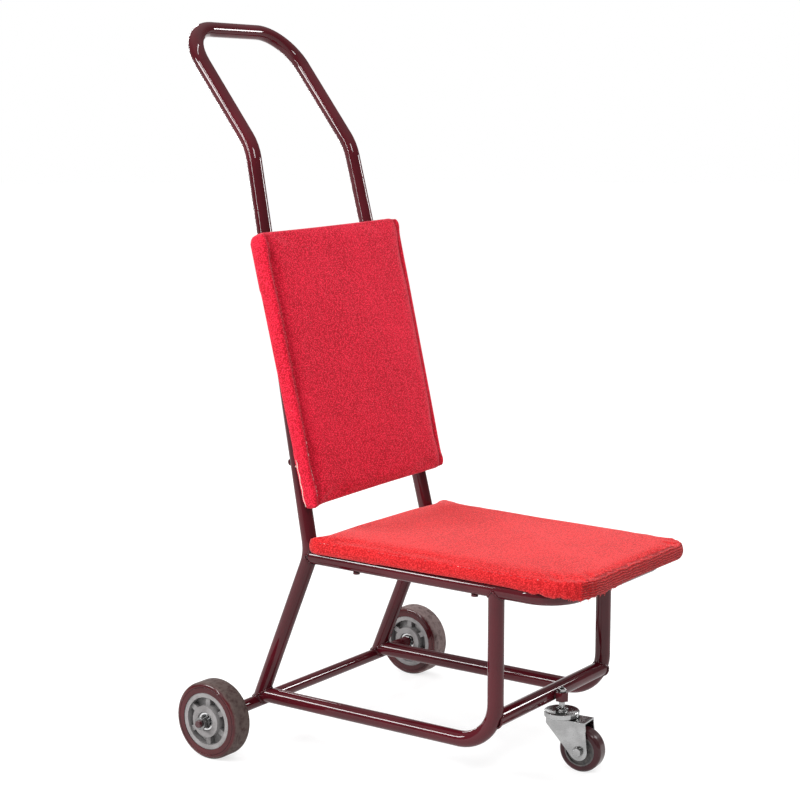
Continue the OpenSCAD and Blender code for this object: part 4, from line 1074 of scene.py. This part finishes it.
def make_seams(seat, back):
    """Red stitches in the long seams, and the pale ones that show in the worn part of them."""
    red, pale = bmesh.new(), bmesh.new()
    back_tree, seat_tree = surface("back_pad"), surface("seat_pad")
    look = -back.axis(2)
    for side in (-1, 1):
        x = side * (back.half[0] - BACK_SEAM)
        low, worn, top = [back.matrix @ Vector((x, v - back.half[1], back.edge))
                          for v in (BACK_SEAM_END, BACK_WORN_END, 2 * back.half[1] - BACK_SEAM_END)]
        stitches(red, back_tree, [low, top], look, BACK_RED)
        stitches(pale, back_tree, [low, worn], look, BACK_PALE[side])
        front, rear = [seat.matrix @ Vector((side * seat.half[0], v, seat.edge - SEAT_SEAM))
                       for v in (SEAT_SEAM_FRONT - seat.half[1], seat.half[1] - SEAT_SEAM_REAR)]
        inward = Vector((-side, 0, 0))
        stitches(red, seat_tree, [front, rear], inward, SEAT_RED)
        stitches(pale, seat_tree, [front, rear], inward, SEAT_PALE, SHORT_STITCH)
    thread_piece("seam_stitches", red, "seam_thread", rgba(0.34, 0.02, 0.03), rgba(0.55, 0.07, 0.08))
    thread_piece("worn_stitches", pale, "worn_thread", rgba(0.66, 0.28, 0.28), rgba(0.85, 0.55, 0.52))


def random_vector(reach):
    return Vector([dice.uniform(-reach, reach) for _ in range(3)])


def loose_thread(bm, start, lean, length):
    """A short curled thread end."""
    curl = random_vector(0.3)
    path = [start + length * s * (lean + s * curl) for s in (-0.1, 0.2, 0.5, 0.8, 1.0)]
    sweep(bm, path, [THREAD_R] * (len(path) - 1) + [THREAD_TIP_R], sides=5)


def make_selvage(back):
    """Pale selvage that shows at the foot of the back pad's right rear edge, frayed at its upper end."""
    tree = surface("back_pad")
    inward, up = back.axis(0), back.axis(1)
    path = []
    for i in range(SELVAGE_STEPS):
        v = SELVAGE_FOOT + SELVAGE_LENGTH * i / (SELVAGE_STEPS - 1) - back.half[1]
        w = SELVAGE_W + SELVAGE_WAVE * math.sin(i * 0.9)
        start = back.matrix @ Vector((-back.half[0] - SHORT_PROBE, v, w))
        hit = tree.ray_cast(start, inward, 2 * SHORT_PROBE)[0]
        if hit:
            path.append(hit - SELVAGE_PROUD * inward)
    bm = bmesh.new()
    sweep(bm, path, [dice.uniform(*SELVAGE_R) for _ in path], sides=6)
    for _ in range(SELVAGE_ENDS):
        lean = random_vector(0.6) - 0.7 * inward + 0.8 * up
        loose_thread(bm, path[-1 - dice.randrange(4)], lean.normalized(), dice.uniform(*SELVAGE_END_LENGTH))
    thread_piece("back_selvage", bm, "selvage_thread", rgba(0.62, 0.34, 0.31), rgba(0.82, 0.62, 0.57))


def make_fringe(seat):
    """Thread ends that hang from the loose hem at the seat's right front corner."""
    tree = surface("seat_pad")
    down = -seat.axis(2)
    bm = bmesh.new()
    for x, y in seat.outline(FRINGE_INSET, per_corner=24, per_side=60):
        share = loose_corner(seat, np.array([[x, y, 0.0]]))[0]
        if dice.random() > FRINGE_SHARE * share:
            continue
        hit = tree.ray_cast(seat.matrix @ Vector((x, y, -SHORT_PROBE)), -down, 2 * SHORT_PROBE)[0]
        if hit:
            lean = (down + random_vector(0.8)).normalized()
            loose_thread(bm, hit, lean, dice.uniform(*FRINGE_LENGTH))
    thread_piece("seat_fringe", bm, "fringe_thread", rgba(0.45, 0.02, 0.02), rgba(0.80, 0.05, 0.05))


def make_pads():
    wire = zinc_plate("staple_wire", grain=(1.0, 1.0, 1.0))
    seat = Pad("seat_cover", "seat_board", face=(0, 0, 1), up=(0, 1, 0), edge=23.3 * MM,
               corners=(52 * MM, 14 * MM), crown=4 * MM, taper=10 * MM, fall=2 * MM)
    back = Pad("back_cover", "back_board", face=(0, -1, 0), up=(0, 0, 1), edge=26.3 * MM,
               corners=(14 * MM, 14 * MM), crown=4 * MM)
    front_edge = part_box("seat_cover")[0].y
    seat_cloth = terry("seat_terry", **SEAT_TERRY, rows=(front_edge, 16 * MM))
    back_cloth = terry("back_terry", **BACK_TERRY)
    seat_obj = dressed(pad_piece(seat, "seat_pad", seat_shape), seat_cloth)
    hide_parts("seat_cover", "seat_foam")
    back_obj = dressed(pad_piece(back, "back_pad", back_shape), back_cloth)
    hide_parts("back_cover", "back_foam")
    staples(seat, "seat_staples", wire)
    staples(back, "back_staples", wire)
    make_seams(seat, back)
    make_selvage(back)
    make_fringe(seat)


# Finishes of the CAD nodes

def dress_nodes(paint):
    """Gives each CAD node the finish of its slot, or one of its own."""
    stud = stud_steel()
    worn_zinc = zinc_plate("worn_zinc", dark=0.15, light=0.24)
    wheel_r = half_height("left_tyre")
    caster_r = half_height("caster_tyre")
    by_slot = {
        "frame_paint": paint,
        "zinc": zinc_plate(),
        "bearing_steel": bearing_steel(),
        "hub_grey": hub_plastic(),
        "caster_core": caster_core(),
        "caster_rubber": tyre_rubber("caster_rubber", "caster_wheel_spin", caster_r, 0.15, CASTER_RUBBER),
        "pad_board": lining_cloth(),
        "pad_foam": foam_finish(),
    }
    by_name = {"seat_screws": paint, "back_screws": paint}
    # The left tyre's pale tread colour is partly painted light
    for side, tread_dust_and_light in (("left", PALE_DUST_AND_LIGHT), ("right", DUST)):
        tyre = tyre_rubber(side + "_tyre_rubber", side + "_wheel_spin", wheel_r, 1.0, WHEEL_RUBBER, tread_dust_and_light)
        by_name[side + "_tyre"] = tyre
        by_name[side + "_axle_stud"] = stud
        by_name[side + "_lock_nut"] = worn_zinc
        by_name[side + "_axle_washer"] = worn_zinc
    for name, obj in NODES.items():
        for slot in obj.material_slots:
            slot.material = by_name.get(name) or by_slot.get(slot.material.name, slot.material)


make_camera()
make_lights()
make_world()
make_floor()
paint = frame_paint()
dress_nodes(paint)
make_welds(frame_paint("weld_paint", ripple=0.2 * MM))
make_nut_weld(paint)
make_pads()
